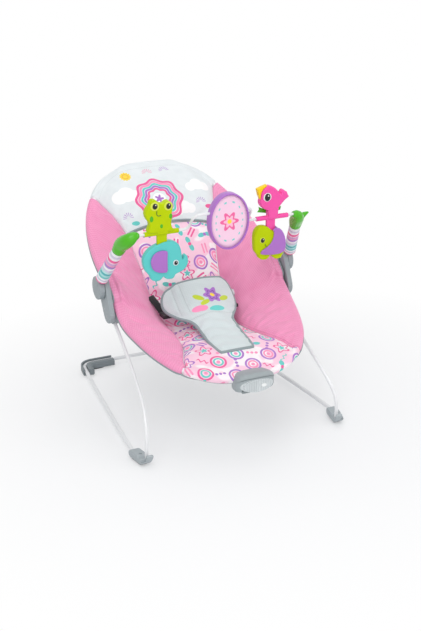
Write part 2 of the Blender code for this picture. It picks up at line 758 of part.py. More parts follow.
def build_hubs(parent, at_hub, lean):
    """Each hub: an inner block that takes both tubes and the upright, and an outer plate with the pivot boss."""
    tube_yz, along = at_hub.yz, lean.yz
    across = Vector((-along.y, along.x))
    half_depth = HUB_SOCKET_END - GAP
    block_outline = [tube_yz + along * d + across * w for d, w in (
        (-half_depth, -0.0110), (-half_depth, 0.0105), (-half_depth + 0.004, 0.0135), (half_depth - 0.004, 0.0135),
        (half_depth, 0.0105), (half_depth, -0.0110))]
    block_outline += [Vector(p) for p in ((0.2730, 0.2690), (0.2640, 0.2480), (0.2520, 0.2280), (0.2390, 0.2180),
                                          (0.2250, 0.2175), (0.2165, 0.2270), (0.2165, 0.2410), (0.2300, 0.2515))]
    for side, word in ((-1, "left"), (1, "right")):
        block = finish(f"hub_block_{word}", prism(block_outline, HUB_SPLIT_X - GAP - HUB_BLOCK_IN_X,
                       side_matrix(side, HUB_BLOCK_IN_X), bevel=0.0015, segments=1), grey_plastic(), parent)
        tube = Vector((side * at_hub.x, at_hub.y, at_hub.z))
        route, slope = upright_route(side)
        cuts = []
        for way in (1, -1):
            across = Vector((1, 0, 0))
            frames = [(across, (lean * way).cross(across))] * 2
            cuts.append(rod([tube + lean * way * (HUB_TUBE_WEB / 2 - GAP), tube + lean * way * 0.06],
                            SEAT_TUBE + GAP * 1.3, frames))
        top = route[-1]
        up = Vector((0, slope.y, slope.z))
        cuts.append(round_bar(top + up * GAP, top - up * 0.05, UPRIGHT_WIRE + GAP * 1.5, sides=8))
        plate = finish(f"hub_plate_{word}", prism(capsule_outline(HUB_TOP, HUB_BOTTOM, HUB_RADIUS, HUB_LOWER_RADIUS),
                       HUB_OUT_X - HUB_SPLIT_X, side_matrix(side, HUB_SPLIT_X), bevel=0.002), grey_plastic(), parent)
        boss_end = HUB_OUT_X + PIVOT_THICKNESS - 0.004
        carve(plate, [round_bar((side * (HUB_OUT_X - 0.002), *HUB_TOP), (side * boss_end, *HUB_TOP), PIVOT_BOSS)],
              "UNION")
        holes = []
        for place_yz, rank in zip(HUB_SCREWS, ("front", "rear")):
            head = (side * (HUB_OUT_X - 0.0003), *place_yz)
            finish(f"hub_screw_{word}_{rank}", screw(head, (-side, 0, 0), 0.0150), steel(), parent)
            holes.append(head)
        carve(block, cuts + [screw_hole(head, (-side, 0, 0), 0.0150) for head in holes])
        carve(plate, [screw_hole(head, (-side, 0, 0), 0.0150) for head in holes])


def build_uprights(parent):
    for side, word in ((-1, "left"), (1, "right")):
        route, _ = upright_route(side)
        finish(f"upright_wire_{word}", rod(route, UPRIGHT_WIRE, path_frames(route, Vector((1, 0, 0)))),
               white_wire(), parent)


# Base

def base_route():
    """The U-shaped base wire, from the left front foot round the back to the right one."""
    z = BASE_WIRE_Z
    right = [Vector((BASE_FRONT_X, FOOT_REAR_Y - WIRE_SOCKET_DEPTH + GAP, z)),
             Vector((BASE_FRONT_X, FOOT_REAR_Y + 0.004, z))]
    corner_start_y = BASE_REAR_Y - BASE_CORNER_RADIUS
    corner_x = BASE_REAR_X
    bend = [Vector((corner_x + (BASE_FRONT_X - corner_x) * out, right[-1].y + (corner_start_y - right[-1].y) * back, z))
            for out, back in BASE_BEND]
    bend = smooth_curve([right[-1]] + bend + [(corner_x, corner_start_y, z)], 9)
    centre = Vector((corner_x - BASE_CORNER_RADIUS, corner_start_y, z))
    arc = [centre + Vector((math.cos(a), math.sin(a), 0)) * BASE_CORNER_RADIUS
           for a in (math.pi / 2 * k / 6 for k in range(1, 7))]
    right = right[:1] + bend + arc + [Vector((GRIP_BAR_END_X, BASE_REAR_Y, z)), Vector((0, BASE_REAR_Y, z))]
    left = [Vector((-p.x, p.y, p.z)) for p in right]
    return left[:-1] + right[::-1]


def build_base(parent):
    route = base_route()
    frames = path_frames(route, Vector((0, 0, 1)))
    finish("base_wire", rod(route, BASE_WIRE, frames), white_wire(), parent)
    rubber = []
    for side, word in ((-1, "left"), (1, "right")):
        build_rear_grip(parent, side, word)
        rubber.append((side, word))
        build_front_foot(parent, side, word)
    for side, word in rubber:
        build_pads(parent, side, word)


def build_rear_grip(parent, side, word):
    """A corner clip with an open channel on top, in which the base wire lies."""
    centre_x, centre_y = BASE_REAR_X - BASE_CORNER_RADIUS, BASE_REAR_Y - BASE_CORNER_RADIUS
    line = [Vector((GRIP_BAR_END_X, BASE_REAR_Y, 0)), Vector((centre_x, BASE_REAR_Y, 0))]
    line += [Vector((centre_x + math.sin(a) * BASE_CORNER_RADIUS, centre_y + math.cos(a) * BASE_CORNER_RADIUS, 0))
             for a in (math.pi / 2 * k / 6 for k in range(1, 7))]
    out, back = BASE_BEND[-1]
    toward = Vector(((BASE_FRONT_X - BASE_REAR_X) * out, (FOOT_REAR_Y - centre_y) * (1 - back), 0)).normalized()
    line.append(line[-1] + toward * (centre_y - GRIP_SIDE_END_Y))
    line = [Vector((side * p.x, p.y, p.z)) for p in line]
    frames = path_frames(line, Vector((0, 0, 1)))
    half = BASE_WIRE + GAP
    low = PAD_THICKNESS + GAP
    floor = BASE_WIRE_Z - BASE_WIRE - GAP
    out, inner = half + GRIP_OUTER_WALL, -(half + GRIP_INNER_WALL)
    if side > 0:
        out, inner = -out, -inner
    near, far = math.copysign(half, out), math.copysign(half, inner)
    section = [(low, inner * 0.88), (low + 0.003, inner), (GRIP_TOP_Z - 0.004, inner), (GRIP_TOP_Z, inner * 0.8),
               (GRIP_TOP_Z, far), (floor, far), (floor, near), (GRIP_TOP_Z + 0.001, near), (GRIP_TOP_Z + 0.001, out),
               (low + 0.002, out), (low, out * 0.8)]
    finish(f"rear_grip_{word}", swept_section(line, section, frames), grey_plastic(), parent)


def foot_outline():
    """Side view of the front foot: a low shoe with a notch for the upright and a hook in front of it."""
    low = PAD_THICKNESS + GAP
    r = (FOOT_TOP_Z - low) / 2
    heel = [(FOOT_REAR_Y - r + r * math.sin(a), low + r - r * math.cos(a)) for a in
            (math.pi * k / 6 for k in range(0, 7))]
    notch = [(0.0100, FOOT_TOP_Z), (0.0066, FOOT_NOTCH_Z), (-0.0066, FOOT_NOTCH_Z), (-0.0090, FOOT_NOTCH_Z + 0.0045),
             (-0.0113, FOOT_HOOK_Z - 0.0008)]
    hook = [(-0.0140, FOOT_HOOK_Z), (-FOOT_HOOK_REACH, FOOT_HOOK_Z - 0.0026), (0.0023 - FOOT_HOOK_REACH, 0.0200),
            (0.0066 - FOOT_HOOK_REACH, 0.0125), (-0.0060, 0.0072), (-0.0010, low)]
    return heel + notch + hook


def toed_in(shape, side):
    """Turn a foot's mesh toward its toe, which lies further in than its heel."""
    for vert in shape.verts:
        vert.co.x -= side * FOOT_TOE_IN * (FOOT_REAR_Y - vert.co.y)
    return shape


def foot_centre_x(y):
    return FOOT_REAR_X - FOOT_TOE_IN * (FOOT_REAR_Y - y)


def build_front_foot(parent, side, word):
    inner_x = FOOT_REAR_X - FOOT_WIDTH / 2
    shape = prism(foot_outline(), FOOT_WIDTH, side_matrix(side, inner_x), bevel=0.0022)
    foot = finish(f"front_foot_{word}", toed_in(shape, side), grey_plastic(), parent)
    socket_back = FOOT_REAR_Y - WIRE_SOCKET_DEPTH
    wire = round_bar((side * BASE_FRONT_X, socket_back, BASE_WIRE_Z),
                     (side * BASE_FRONT_X, FOOT_REAR_Y + 0.02, BASE_WIRE_Z), BASE_WIRE + GAP * 1.5, sides=12)
    upright = round_bar((side * UPRIGHT_FOOT_X, 0, UPRIGHT_SOCKET_BOTTOM_Z), (side * UPRIGHT_FOOT_X, 0, 0.06),
                        UPRIGHT_WIRE + RUNNING_GAP * 1.1, sides=12)
    screw_y = socket_back - 0.0070
    recess = round_bar((side * foot_centre_x(screw_y), screw_y, FOOT_TOP_Z - 0.0022),
                       (side * foot_centre_x(screw_y), screw_y, FOOT_TOP_Z + 0.01), 0.0030)
    beside = sorted((side * (UPRIGHT_FOOT_X + FOOT_HOOK_WIDTH / 2), side * (UPRIGHT_FOOT_X + FOOT_WIDTH)))
    shoulder = box_between((beside[0], -0.03, FOOT_NOTCH_Z - 0.0045), (beside[1], -0.0052, FOOT_HOOK_Z + 0.01))
    carve(foot, [wire, upright, recess, shoulder])


def build_pads(parent, side, word):
    """Rubber pads on the floor, under the front feet and the rear corners."""
    width, length = FOOT_WIDTH - 0.0070, 0.034
    foot_pad = box_between((FOOT_REAR_X - width / 2, FOOT_REAR_Y - length - 0.007, 0.0),
                           (FOOT_REAR_X + width / 2, FOOT_REAR_Y - 0.007, PAD_THICKNESS), bevel=0.001)
    toed_in(foot_pad, 1)
    x = BASE_REAR_X - BASE_CORNER_RADIUS
    rear_pad = prism(capsule_outline((x - 0.022, BASE_REAR_Y - 0.005), (x - 0.002, BASE_REAR_Y - 0.007), 0.0075,
                                     0.0070, steps=6), PAD_THICKNESS, Matrix.Identity(4), bevel=0.001, segments=1)
    for name, shape in ((f"front_pad_{word}", foot_pad), (f"rear_pad_{word}", rear_pad)):
        for vert in shape.verts:
            vert.co.x *= side
        finish(name, shape, dark_rubber(), parent)


# Toy bar

def bar_point(x, q, pivot, lean_deg=BAR_LEAN_DEG):
    lean = math.radians(lean_deg)
    return Vector((x, pivot.y + q * math.cos(lean), pivot.z + q * math.sin(lean)))


def build_toy_bar(parent, pivot):
    """Pivot discs with arm rods, striped fabric sleeves, green end caps and the toy wire."""
    lean = math.radians(BAR_LEAN_DEG)
    along = Vector((0, math.cos(lean), math.sin(lean)))
    for side, word in ((-1, "left"), (1, "right")):
        inner_x = HUB_OUT_X + GAP
        circle = [(HUB_TOP[0] + y, HUB_TOP[1] + z) for y, z in ring_points(HUB_RADIUS, 24)]
        disc = finish(f"arm_pivot_{word}", prism(circle, PIVOT_THICKNESS - GAP, side_matrix(side, inner_x),
                      bevel=0.002), grey_plastic(), parent)
        foot = bar_point(side * ARM_FOOT_X, 0.012, pivot, ARM_LEAN_DEG)
        end = bar_point(side * ARM_TOP_X, ARM_TOP_Q, pivot, ARM_LEAN_DEG)
        axis = (end - foot).normalized()
        rod_end = end + axis * 0.012
        carve(disc, [round_bar(foot, rod_end, ARM_ROD)], "UNION")
        bore_end = HUB_OUT_X + PIVOT_THICKNESS - 0.004 + GAP
        carve(disc, [round_bar((side * (inner_x - 0.01), *HUB_TOP), (side * bore_end, *HUB_TOP),
                               PIVOT_BOSS + GAP * 1.4, sides=24)])
        base = foot + axis * (SLEEVE_START_Q - 0.012)
        steps = 5
        sleeve_line = [base.lerp(end, k / (steps - 1)) for k in range(steps)]
        radii = [SLEEVE_BASE_RADIUS + (SLEEVE_TOP_RADIUS - SLEEVE_BASE_RADIUS) * k / (steps - 1)
                 for k in range(steps)]
        start = axis.orthogonal().normalized()
        frames = [(start, axis.cross(start))] * steps
        finish(f"arm_sleeve_{word}", pipe(sleeve_line, radii, ARM_ROD + GAP * 2, frames, sides=12),
               print_fabric(), parent)
        build_cap(parent, side, word, pivot, end, axis, rod_end)
    build_toy_wire(parent, pivot, along)


def build_cap(parent, side, word, pivot, ring, axis, rod_end):
    """A fat leaf bud: it stands on the sleeve, takes the arm rod and lets out the toy wire."""
    start = ring + axis * GAP
    tip = bar_point(side * CAP_TIP_X, CAP_TIP_Q, pivot)
    line = [start] + smooth_curve([start + axis * 0.004, start + axis * 0.020, bar_point(side * (ARM_TOP_X - 0.012), 0.170, pivot),
                                   bar_point(side * (ARM_TOP_X - 0.022), 0.1815, pivot), tip], 9)
    radii = [CAP_RADIUS * w for w in (0.88, 0.95, 1.04, 1.08, 1.06, 1.0, 0.92, 0.80, 0.62, 0.42)]
    green = material("green_plastic", (0.10, 0.47, 0.02), 0.25)
    cap = finish(f"arm_cap_{word}", rod(line, radii, path_frames(line, Vector((1, 0, 0))), sides=12), green, parent)
    leaf_tip = ring + Vector((side * 0.0190, -0.0240, 0.0350))
    leaf = smooth_curve([ring + axis * 0.016, ring + Vector((side * 0.006, -0.019, 0.027)), leaf_tip], 5)
    carve(cap, [rod(leaf, [0.0100, 0.0095, 0.0080, 0.0052, 0.0020], sides=8)], "UNION")
    wire = [bar_point(side * x, TOY_BAR_Q, pivot) for x in (CAP_TIP_X + 0.0095, CAP_TIP_X - 0.030)]
    carve(cap, [round_bar(start - axis * 0.01, rod_end + axis * GAP, ARM_ROD + GAP, sides=12),
                round_bar(*wire, TOY_WIRE + GAP * 1.3, sides=8)])


def toy_wire_route(pivot):
    """One bent wire: level through both toys, with a raised middle that carries the disc."""
    low, high = TOY_BAR_Q, HUMP_Q
    inner_end = TOY_X - CROSSBAR_HALF
    plan = [(CAP_TIP_X + 0.009, low), (TOY_X, low), (inner_end, low), (HUMP_START_X + 0.005, low),
            (HUMP_START_X, low + 0.003), (HUMP_START_X - 0.0035, low + 0.010), (HUMP_TOP_X + 0.0045, high - 0.011),
            (HUMP_TOP_X + 0.0005, high - 0.004), (HUMP_TOP_X - 0.004, high), (0.030, high)]
    right = [bar_point(x, q, pivot) for x, q in plan]
    left = [Vector((-p.x, p.y, p.z)) for p in right]
    return right + left[::-1]


def build_toy_wire(parent, pivot, along):
    route = toy_wire_route(pivot)
    frames = path_frames(route, along)
    finish("toy_wire", rod(route, TOY_WIRE, frames), white_wire(), parent)


# Toys: outlines in millimetres from the wire, X to the right and Z up

FROG = ((-27, 3), (-29, 13), (-26, 23), (-32, 31), (-36, 43), (-33, 53), (-27, 60), (-24, 69), (-17, 72),
        (-9, 67), (-3, 62), (5, 62), (11, 66), (19, 63), (24, 56), (22, 46), (21, 37), (22, 28), (19, 21),
        (21, 11), (22, 3))
ELEPHANT = ((-41, -47), (-30, -32), (-20, -26), (-6, -21), (8, -18), (22, -19), (34, -26), (40, -39),
            (42, -51), (43, -63), (45, -63), (47, -54), (51, -52), (55, -57), (55, -73), (45, -85), (31, -90),
            (26, -93), (24, -99), (15, -100), (6, -98), (1, -91), (-3, -98), (-13, -100), (-24, -97),
            (-28, -87), (-36, -77), (-41, -65))
EAR = ((9, -38), (9, -49), (9, -60), (9, -72), (9, -82), (0, -83), (-10, -81), (-21, -75), (-27, -62),
       (-26, -49), (-18, -39), (-6, -35))
BIRD = ((-29, 43), (-31, 36), (-28, 28), (-21, 21), (-10, 17), (1, 16), (11, 20), (18, 27), (27, 36), (34, 40),
        (36, 44), (31, 48), (32, 54), (26, 52), (24, 58), (18, 55), (16, 47), (12, 54), (4, 63), (-7, 69),
        (-16, 68), (-24, 62), (-28, 54))
BEAK = ((-37, 65), (-28, 68), (-15, 72), (-17, 59), (-24, 47), (-29, 40), (-34, 52))
LEAVES = ((-9, 7), (-19, 9), (-29, 11), (-25, 16), (-26, 22), (-18, 18), (-10, 19), (-4, 13), (4, 13), (9, 19),
          (15, 17), (18, 23), (22, 18), (26, 17), (24, 10), (13, 8), (8, 7))
TURTLE = ((-43, -36), (-40, -24), (-32, -16), (-23, -15), (-12, -18), (-4, -26), (4, -28), (13, -28),
          (24, -38), (29, -51), (30, -68), (27, -79), (23, -85), (20, -91), (11, -92), (4, -90), (0, -82),
          (-7, -81), (-9, -88), (-20, -90), (-30, -86), (-34, -77), (-41, -69), (-43, -52))
SHELL = ((-2, -24), (8, -21), (18, -27), (26, -41), (29, -56), (28, -71), (22, -78), (8, -80), (-9, -79),
         (-27, -76), (-31, -71), (-21, -64), (-9, -57), (-1, -45), (1, -33))


def toy_matrix(x, centre, depth):
    """Stands an outline up, facing the front, its middle plane the given depth behind the wire."""
    return Matrix(((1, 0, 0, x), (0, 0, -1, centre.y + depth), (0, 1, 0, centre.z), (0, 0, 0, 1)))


def in_metres(outline):
    return [(x / 1000, z / 1000) for x, z in outline]


def plain_outline(points, count):
    """A smooth closed outline through a few points."""
    return [tuple(p) for p in smooth_curve(in_metres(points), count, closed=True)]


def stem_prism(matrix, stem, grow=0.0):
    """The flat stem between the two animals of a toy, or the slot that takes it."""
    left, right = stem
    outline = [(left - grow, -STEM_REACH - grow), (right + grow, -STEM_REACH - grow), (right + grow, 0.0),
               (left - grow, 0.0)]
    half = STEM_THICKNESS / 2 + grow
    return prism(outline, half * 2, matrix @ Matrix.Translation((0, 0, -half)))


def carried_toy(name, x, centre, finish_material, parent, upper, stem):
    """The moulding that turns on the wire: a bored crossbar, the upper animal and the stem below."""
    matrix = toy_matrix(x, centre, 0.0)
    bar = round_bar((x - CROSSBAR_HALF, centre.y, centre.z), (x + CROSSBAR_HALF, centre.y, centre.z),
                    CROSSBAR_RADIUS, sides=12)
    toy = finish(name, rounded_plate(upper, TOY_THICKNESS, matrix, TOY_ROUNDING), finish_material, parent)
    depth = TOY_THICKNESS - 0.0012
    neck = prism([(-0.010, -0.002), (0.010, -0.002), (0.012, 0.022), (-0.012, 0.022)], depth,
                 matrix @ Matrix.Translation((0, 0, -depth / 2)))
    carve(toy, [bar, neck, stem_prism(matrix, stem)], "UNION")
    bore = round_bar((x - CROSSBAR_HALF - 0.01, centre.y, centre.z), (x + CROSSBAR_HALF + 0.01, centre.y, centre.z),
                     TOY_WIRE + GAP * 1.3, sides=8)
    return carve(toy, [bore])


def lower_toy(name, outline, finish_material, parent, matrix, stem):
    """The animal that hangs on the stem, with a slot for it."""
    body = rounded_plate(outline, LOWER_TOY_THICKNESS, matrix, TOY_ROUNDING)
    return carve(finish(name, body, finish_material, parent), [stem_prism(matrix, stem, GAP)])


def build_toys(left_pivot, right_pivot, centre):
    turquoise = material("turquoise_plastic", (0.10, 0.67, 0.60), 0.3)
    purple = material("purple_plastic", (0.40, 0.16, 0.58), 0.3)
    bird_pink = material("bird_pink", (1.0, 0.09, 0.42), 0.3)
    yellow = material("yellow_plastic", (1.0, 0.62, 0.0), 0.3)
    leaf = material("leaf_green", (0.10, 0.47, 0.02), 0.3)

    x = -TOY_X
    matrix, stem = toy_matrix(x, centre, 0.0), (-0.010, 0.011)
    carried_toy("frog_toy", x, centre, lime_plastic(), left_pivot, plain_outline(FROG, 36), stem)
    elephant = lower_toy("elephant_toy", plain_outline(ELEPHANT, 56), turquoise, left_pivot, matrix, stem)
    add_overlay(elephant, "elephant_ear", EAR, 22, purple, matrix, (-0.008, -0.058))

    x = TOY_X
    matrix, stem = toy_matrix(x, centre, 0.0), (-0.013, 0.006)
    bird = plain_outline(BIRD, 40)
    carried_toy("bird_toy", x, centre, bird_pink, right_pivot, bird, stem)
    turtle = lower_toy("turtle_toy", plain_outline(TURTLE, 40), lime_plastic(), right_pivot, matrix, stem)
    add_overlay(turtle, "turtle_shell", SHELL, 24, purple, matrix, (0.011, -0.054))
    beak = finish("bird_beak", prism(in_metres(BEAK), 0.011, matrix @ Matrix.Translation((0, 0, -0.0055)),
                                     bevel=0.001, segments=1), yellow, right_pivot)
    carve(beak, [rounded_plate(grown(bird, GAP), TOY_THICKNESS + 2 * GAP, matrix, TOY_ROUNDING)])
    behind = matrix @ Matrix.Translation((0, 0, -TOY_THICKNESS / 2 - GAP - 0.0030))
    finish("leaf_sprig", prism(in_metres(LEAVES), 0.0030, behind, bevel=0.0006, segments=1), leaf, right_pivot)


def add_overlay(body, name, outline, count, finish_material, matrix, boss):
    """A raised moulding on both faces of an animal plate, joined by a boss through the plate."""
    thick, plate = 0.0035, LOWER_TOY_THICKNESS
    shapes = []
    for side in (-1, 1):
        base = side * (plate / 2 + GAP)
        turned = matrix @ Matrix.Translation((0, 0, base if side > 0 else base - thick))
        shapes.append(prism(plain_outline(outline, count), thick, turned, bevel=0.0012, segments=1))
    reach = plate / 2 + GAP + 0.001
    ends = [matrix @ Vector((*boss, side * reach)) for side in (-1, 1)]
    piece = finish(name, shapes[0], finish_material, body.parent)
    carve(piece, [shapes[1], round_bar(*ends, 0.004)], "UNION")
    ends = [matrix @ Vector((*boss, side * 0.02)) for side in (-1, 1)]
    carve(body, [round_bar(*ends, 0.004 + GAP * 1.2)])


def build_disc(parent, centre):
    """The oval toy: a purple rim ring and a pink face plate, bored for the wire above its middle."""
    purple = material("rim_purple", (0.40, 0.16, 0.58), 0.3)
    matrix = toy_matrix(DISC_X, centre, 0.0)

    def oval(grow, count=24):
        return [((DISC_HALF_WIDTH + grow) * math.cos(2 * math.pi * k / count),
                 (DISC_HALF_HEIGHT + grow) * math.sin(2 * math.pi * k / count) - DISC_DROP) for k in range(count)]

    half = DISC_THICKNESS / 2
    rim = finish("disc_rim", prism(oval(0.0), DISC_THICKNESS, matrix @ Matrix.Translation((0, 0, -half)),
                                   bevel=0.002), purple, parent)
    recess = prism(oval(-DISC_RIM + GAP), half + 0.01, matrix @ Matrix.Translation((0, 0, half - 0.006)))
    back_recess = prism(oval(-DISC_RIM + GAP), 0.02, matrix @ Matrix.Translation((0, 0, -half - 0.014)))
    bore = round_bar((DISC_X - 0.06, centre.y, centre.z), (DISC_X + 0.06, centre.y, centre.z),
                     TOY_WIRE + GAP * 1.3, sides=8)
    carve(rim, [recess, back_recess, bore])
    pink = material("face_pink", (0.93, 0.66, 0.78), 0.3)
    front = prism(oval(-DISC_RIM), 0.0052, matrix @ Matrix.Translation((0, 0, half - 0.0057)), bevel=0.001, segments=1)
    back = prism(oval(-DISC_RIM), 0.0052, matrix @ Matrix.Translation((0, 0, -half + 0.0005)), bevel=0.001, segments=1)
    ends = [matrix @ Vector((0, -DISC_DROP, side * 0.006)) for side in (-1, 1)]
    carve(finish("disc_face", front, pink, parent), [back, round_bar(*ends, 0.005)], "UNION")
    ends = [matrix @ Vector((0, -DISC_DROP, side * 0.012)) for side in (-1, 1)]
    carve(rim, [round_bar(*ends, 0.005 + GAP * 1.2)])


# Vibration unit

def clam(section):
    """Half of the unit's shell: a side section carried across X, shallower and lower toward both ends."""
    stations = [(-x, deep, high) for x, deep, high in UNIT_STATIONS[:0:-1]] + list(UNIT_STATIONS)
    shape = bmesh.new()
    rings = []
    for x, deep, high in stations:
        rings.append([shape.verts.new((x * UNIT_HALF_WIDTH, UNIT_CORE_Y + (y - UNIT_CORE_Y) * deep,
                                       UNIT_CENTRE_Z + (z - UNIT_CENTRE_Z) * high)) for y, z in section])
    for low, high in zip(rings, rings[1:]):
        for k in range(len(low)):
            nxt = (k + 1) % len(low)
            shape.faces.new((low[k], low[nxt], high[nxt], high[k]))
    shape.faces.new(rings[0])
    shape.faces.new(rings[-1])
    return shape


def oval_bar(x, z, y_from, y_to, half_width, half_height, count=14):
    """An oval bar along Y."""
    outline = [(half_width * math.cos(2 * math.pi * k / count), half_height * math.sin(2 * math.pi * k / count))
               for k in range(count)]
    stand = Matrix(((1, 0, 0, x), (0, 0, 1, y_from), (0, 1, 0, z), (0, 0, 0, 1)))
    return prism(outline, y_to - y_from, stand)


def build_vibration_unit(parent, button_pivot, weight_pivot, front_route):
    """A two-shell housing clipped on the front tube, with its battery, motor, weight and button."""
    channel = [p for p in front_route if abs(p.x) < UNIT_HALF_WIDTH + 0.035]
    tube = min(channel, key=lambda p: abs(p.x))
    low_z, split, high_z = UNIT_BOTTOM_Z, UNIT_SPLIT_Z, UNIT_TOP_Z
    back, front = UNIT_BACK_Y, UNIT_FRONT_Y
    grip = HEM_OUTER + GAP * 1.5
    cavity_back = tube.y - grip - 0.0016
    floor_z = low_z + UNIT_FLOOR
    face_y = front - 0.0012
    body = finish("vibration_housing", clam([
        (back, split), (back, low_z + 0.0080), (back - 0.005, low_z + 0.0030), (-0.033, low_z), (-0.045, low_z),
        (-0.0535, low_z + 0.0045), (front + 0.0006, low_z + 0.0130), (front, low_z + 0.0220), (front + 0.0012, split)]),
        grey_plastic(), parent)
    carve(body, [oval_bar(0, FACE_Z, face_y, front + 0.0050, FACE_HALF_WIDTH, FACE_HALF_HEIGHT, 28)], "UNION")
    recess = oval_bar(0, FACE_Z, face_y - 0.01, face_y + 0.0009, FACE_HALF_WIDTH - 0.002, FACE_HALF_HEIGHT - 0.002, 28)
    cavity = box_between((-0.0325, front + 0.0055, floor_z), (0.0325, cavity_back, split + 0.01))
    tube_cut = rod(channel, grip, path_frames(channel, Vector((0, 0, 1))), sides=16)
    throat = box_between((-0.06, tube.y + 0.002, tube.z - 0.0065), (0.06, tube.y + 0.03, tube.z + 0.0065))
    over_tube = box_between((-0.06, tube.y - 0.002, tube.z + 0.004), (0.06, tube.y + 0.03, split + 0.01))
    door_low, door_high = (-0.030, -0.0500), (0.012, -0.0385)
    door_hole = box_between((*door_low, low_z - 0.01), (*door_high, low_z + 0.0028))
    button_hole = oval_bar(BUTTON_X, FACE_Z, front - 0.02, front + 0.0080, BUTTON_HALF_WIDTH + GAP,
                           BUTTON_HALF_HEIGHT + GAP)
    carve(body, [recess, cavity, tube_cut, throat, over_tube, door_hole])
    ribs = [box_between((x - 0.0008, face_y - 0.0002, FACE_Z - height), (x + 0.0008, face_y + 0.002, FACE_Z + height))
            for x, height in ((-0.022, 0.0065), (-0.017, 0.0085), (-0.012, 0.0095), (-0.007, 0.0100), (-0.002, 0.0100))]
    ring = oval_bar(BUTTON_X, FACE_Z, face_y - 0.0004, face_y + 0.002, BUTTON_HALF_WIDTH + 0.003,
                    BUTTON_HALF_HEIGHT + 0.003, 18)
    carve(body, ribs + [ring], "UNION")
    carve(body, [button_hole])
    lid = finish("vibration_lid", clam([
        (back, split + GAP * 2), (front + 0.0018, split + GAP * 2), (front - 0.0012, split + 0.0022),
        (front - 0.0006, split + 0.0055), (front + 0.0060, high_z), (-0.040, high_z - 0.0008),
        (-0.030, high_z - 0.0030), (back, high_z - 0.0055)]), grey_plastic(), parent)
    carve(lid, [rod(channel, grip, path_frames(channel, Vector((0, 0, 1))), sides=16)])
    door = (Vector((*door_low, low_z + 0.0002)) + Vector((GAP, GAP, 0)),
            Vector((*door_high, low_z + 0.0026)) - Vector((GAP, GAP, 0)))
    finish("battery_door", box_between(*door, bevel=0.0004), grey_plastic(), parent)
    y, z = UNIT_CELL_Y, floor_z + BATTERY_RADIUS + GAP
    battery_x = -0.0315
    battery_end = battery_x + BATTERY_LENGTH
    finish("battery", round_bar((battery_x, y, z), (battery_end, y, z), BATTERY_RADIUS), steel(), parent)
    finish("battery_contact", box_between((battery_end + GAP, y - 0.005, floor_z + GAP),
                                          (battery_end + GAP + 0.0008, y + 0.005, floor_z + 0.011)), steel(), parent)
    motor_x = battery_end + 0.0014
    motor_end = motor_x + MOTOR_LENGTH
    motor_z = UNIT_MOTOR_Z
    finish("motor", round_bar((motor_x, y, motor_z), (motor_end, y, motor_z), MOTOR_RADIUS), steel(), parent)
    half_moon = [(y + 0.0042 * math.cos(a), motor_z - 0.0008 + 0.0038 * math.sin(a))
                 for a in (math.pi + math.pi * k / 8 for k in range(9))]
    finish("eccentric_weight", prism(half_moon, 0.0030, side_matrix(1, motor_end + GAP)), steel(), weight_pivot)
    button = oval_bar(BUTTON_X, FACE_Z, front - 0.0024, front + 0.0060, BUTTON_HALF_WIDTH, BUTTON_HALF_HEIGHT)
    finish("power_button", button, material("button_white", (0.8, 0.82, 0.82), 0.4), button_pivot)


# Harness

def build_crotch_pad(parent):
    """The T-shaped pad: it rises from the sling between the legs and spreads to both buckles."""
    shape = bmesh.new()
    columns = PAD_COLUMNS
    layers = []
    for side in (-1, 1):
        grid = []
        for index, ((y, z), left, right) in enumerate(zip(PAD_LINE, PAD_LEFT, PAD_RIGHT)):
            before = Vector(PAD_LINE[max(index - 1, 0)])
            after = Vector(PAD_LINE[min(index + 1, len(PAD_LINE) - 1)])
            along = (after - before).normalized()
            normal = Vector((-along.y, along.x))
            row = []
            for k in range(columns):
                s = 2 * k / (columns - 1) - 1
                droop = PAD_DROOPS[index] * s * s
                place_yz = Vector((y, z)) + normal * (side * PAD_THICK / 2 - droop)
                row.append(shape.verts.new(((right - left) / 2 + (right + left) / 2 * s, *place_yz)))
            grid.append(row)
        layers.append(grid)
    bottom, top = layers
    rows = len(PAD_LINE)
    for grid in layers:
        for j in range(rows - 1):
            for i in range(columns - 1):
                shape.faces.new((grid[j][i], grid[j][i + 1], grid[j + 1][i + 1], grid[j + 1][i]))
    rim = [(0, i) for i in range(columns - 1)] + [(j, columns - 1) for j in range(rows - 1)]
    rim += [(rows - 1, i) for i in range(columns - 1, 0, -1)] + [(j, 0) for j in range(rows - 1, 0, -1)]
    for (ja, ia), (jb, ib) in zip(rim, rim[1:] + rim[:1]):
        shape.faces.new((top[ja][ia], bottom[ja][ia], bottom[jb][ib], top[jb][ib]))
    finish("crotch_pad", shape, grey_fabric(), parent)


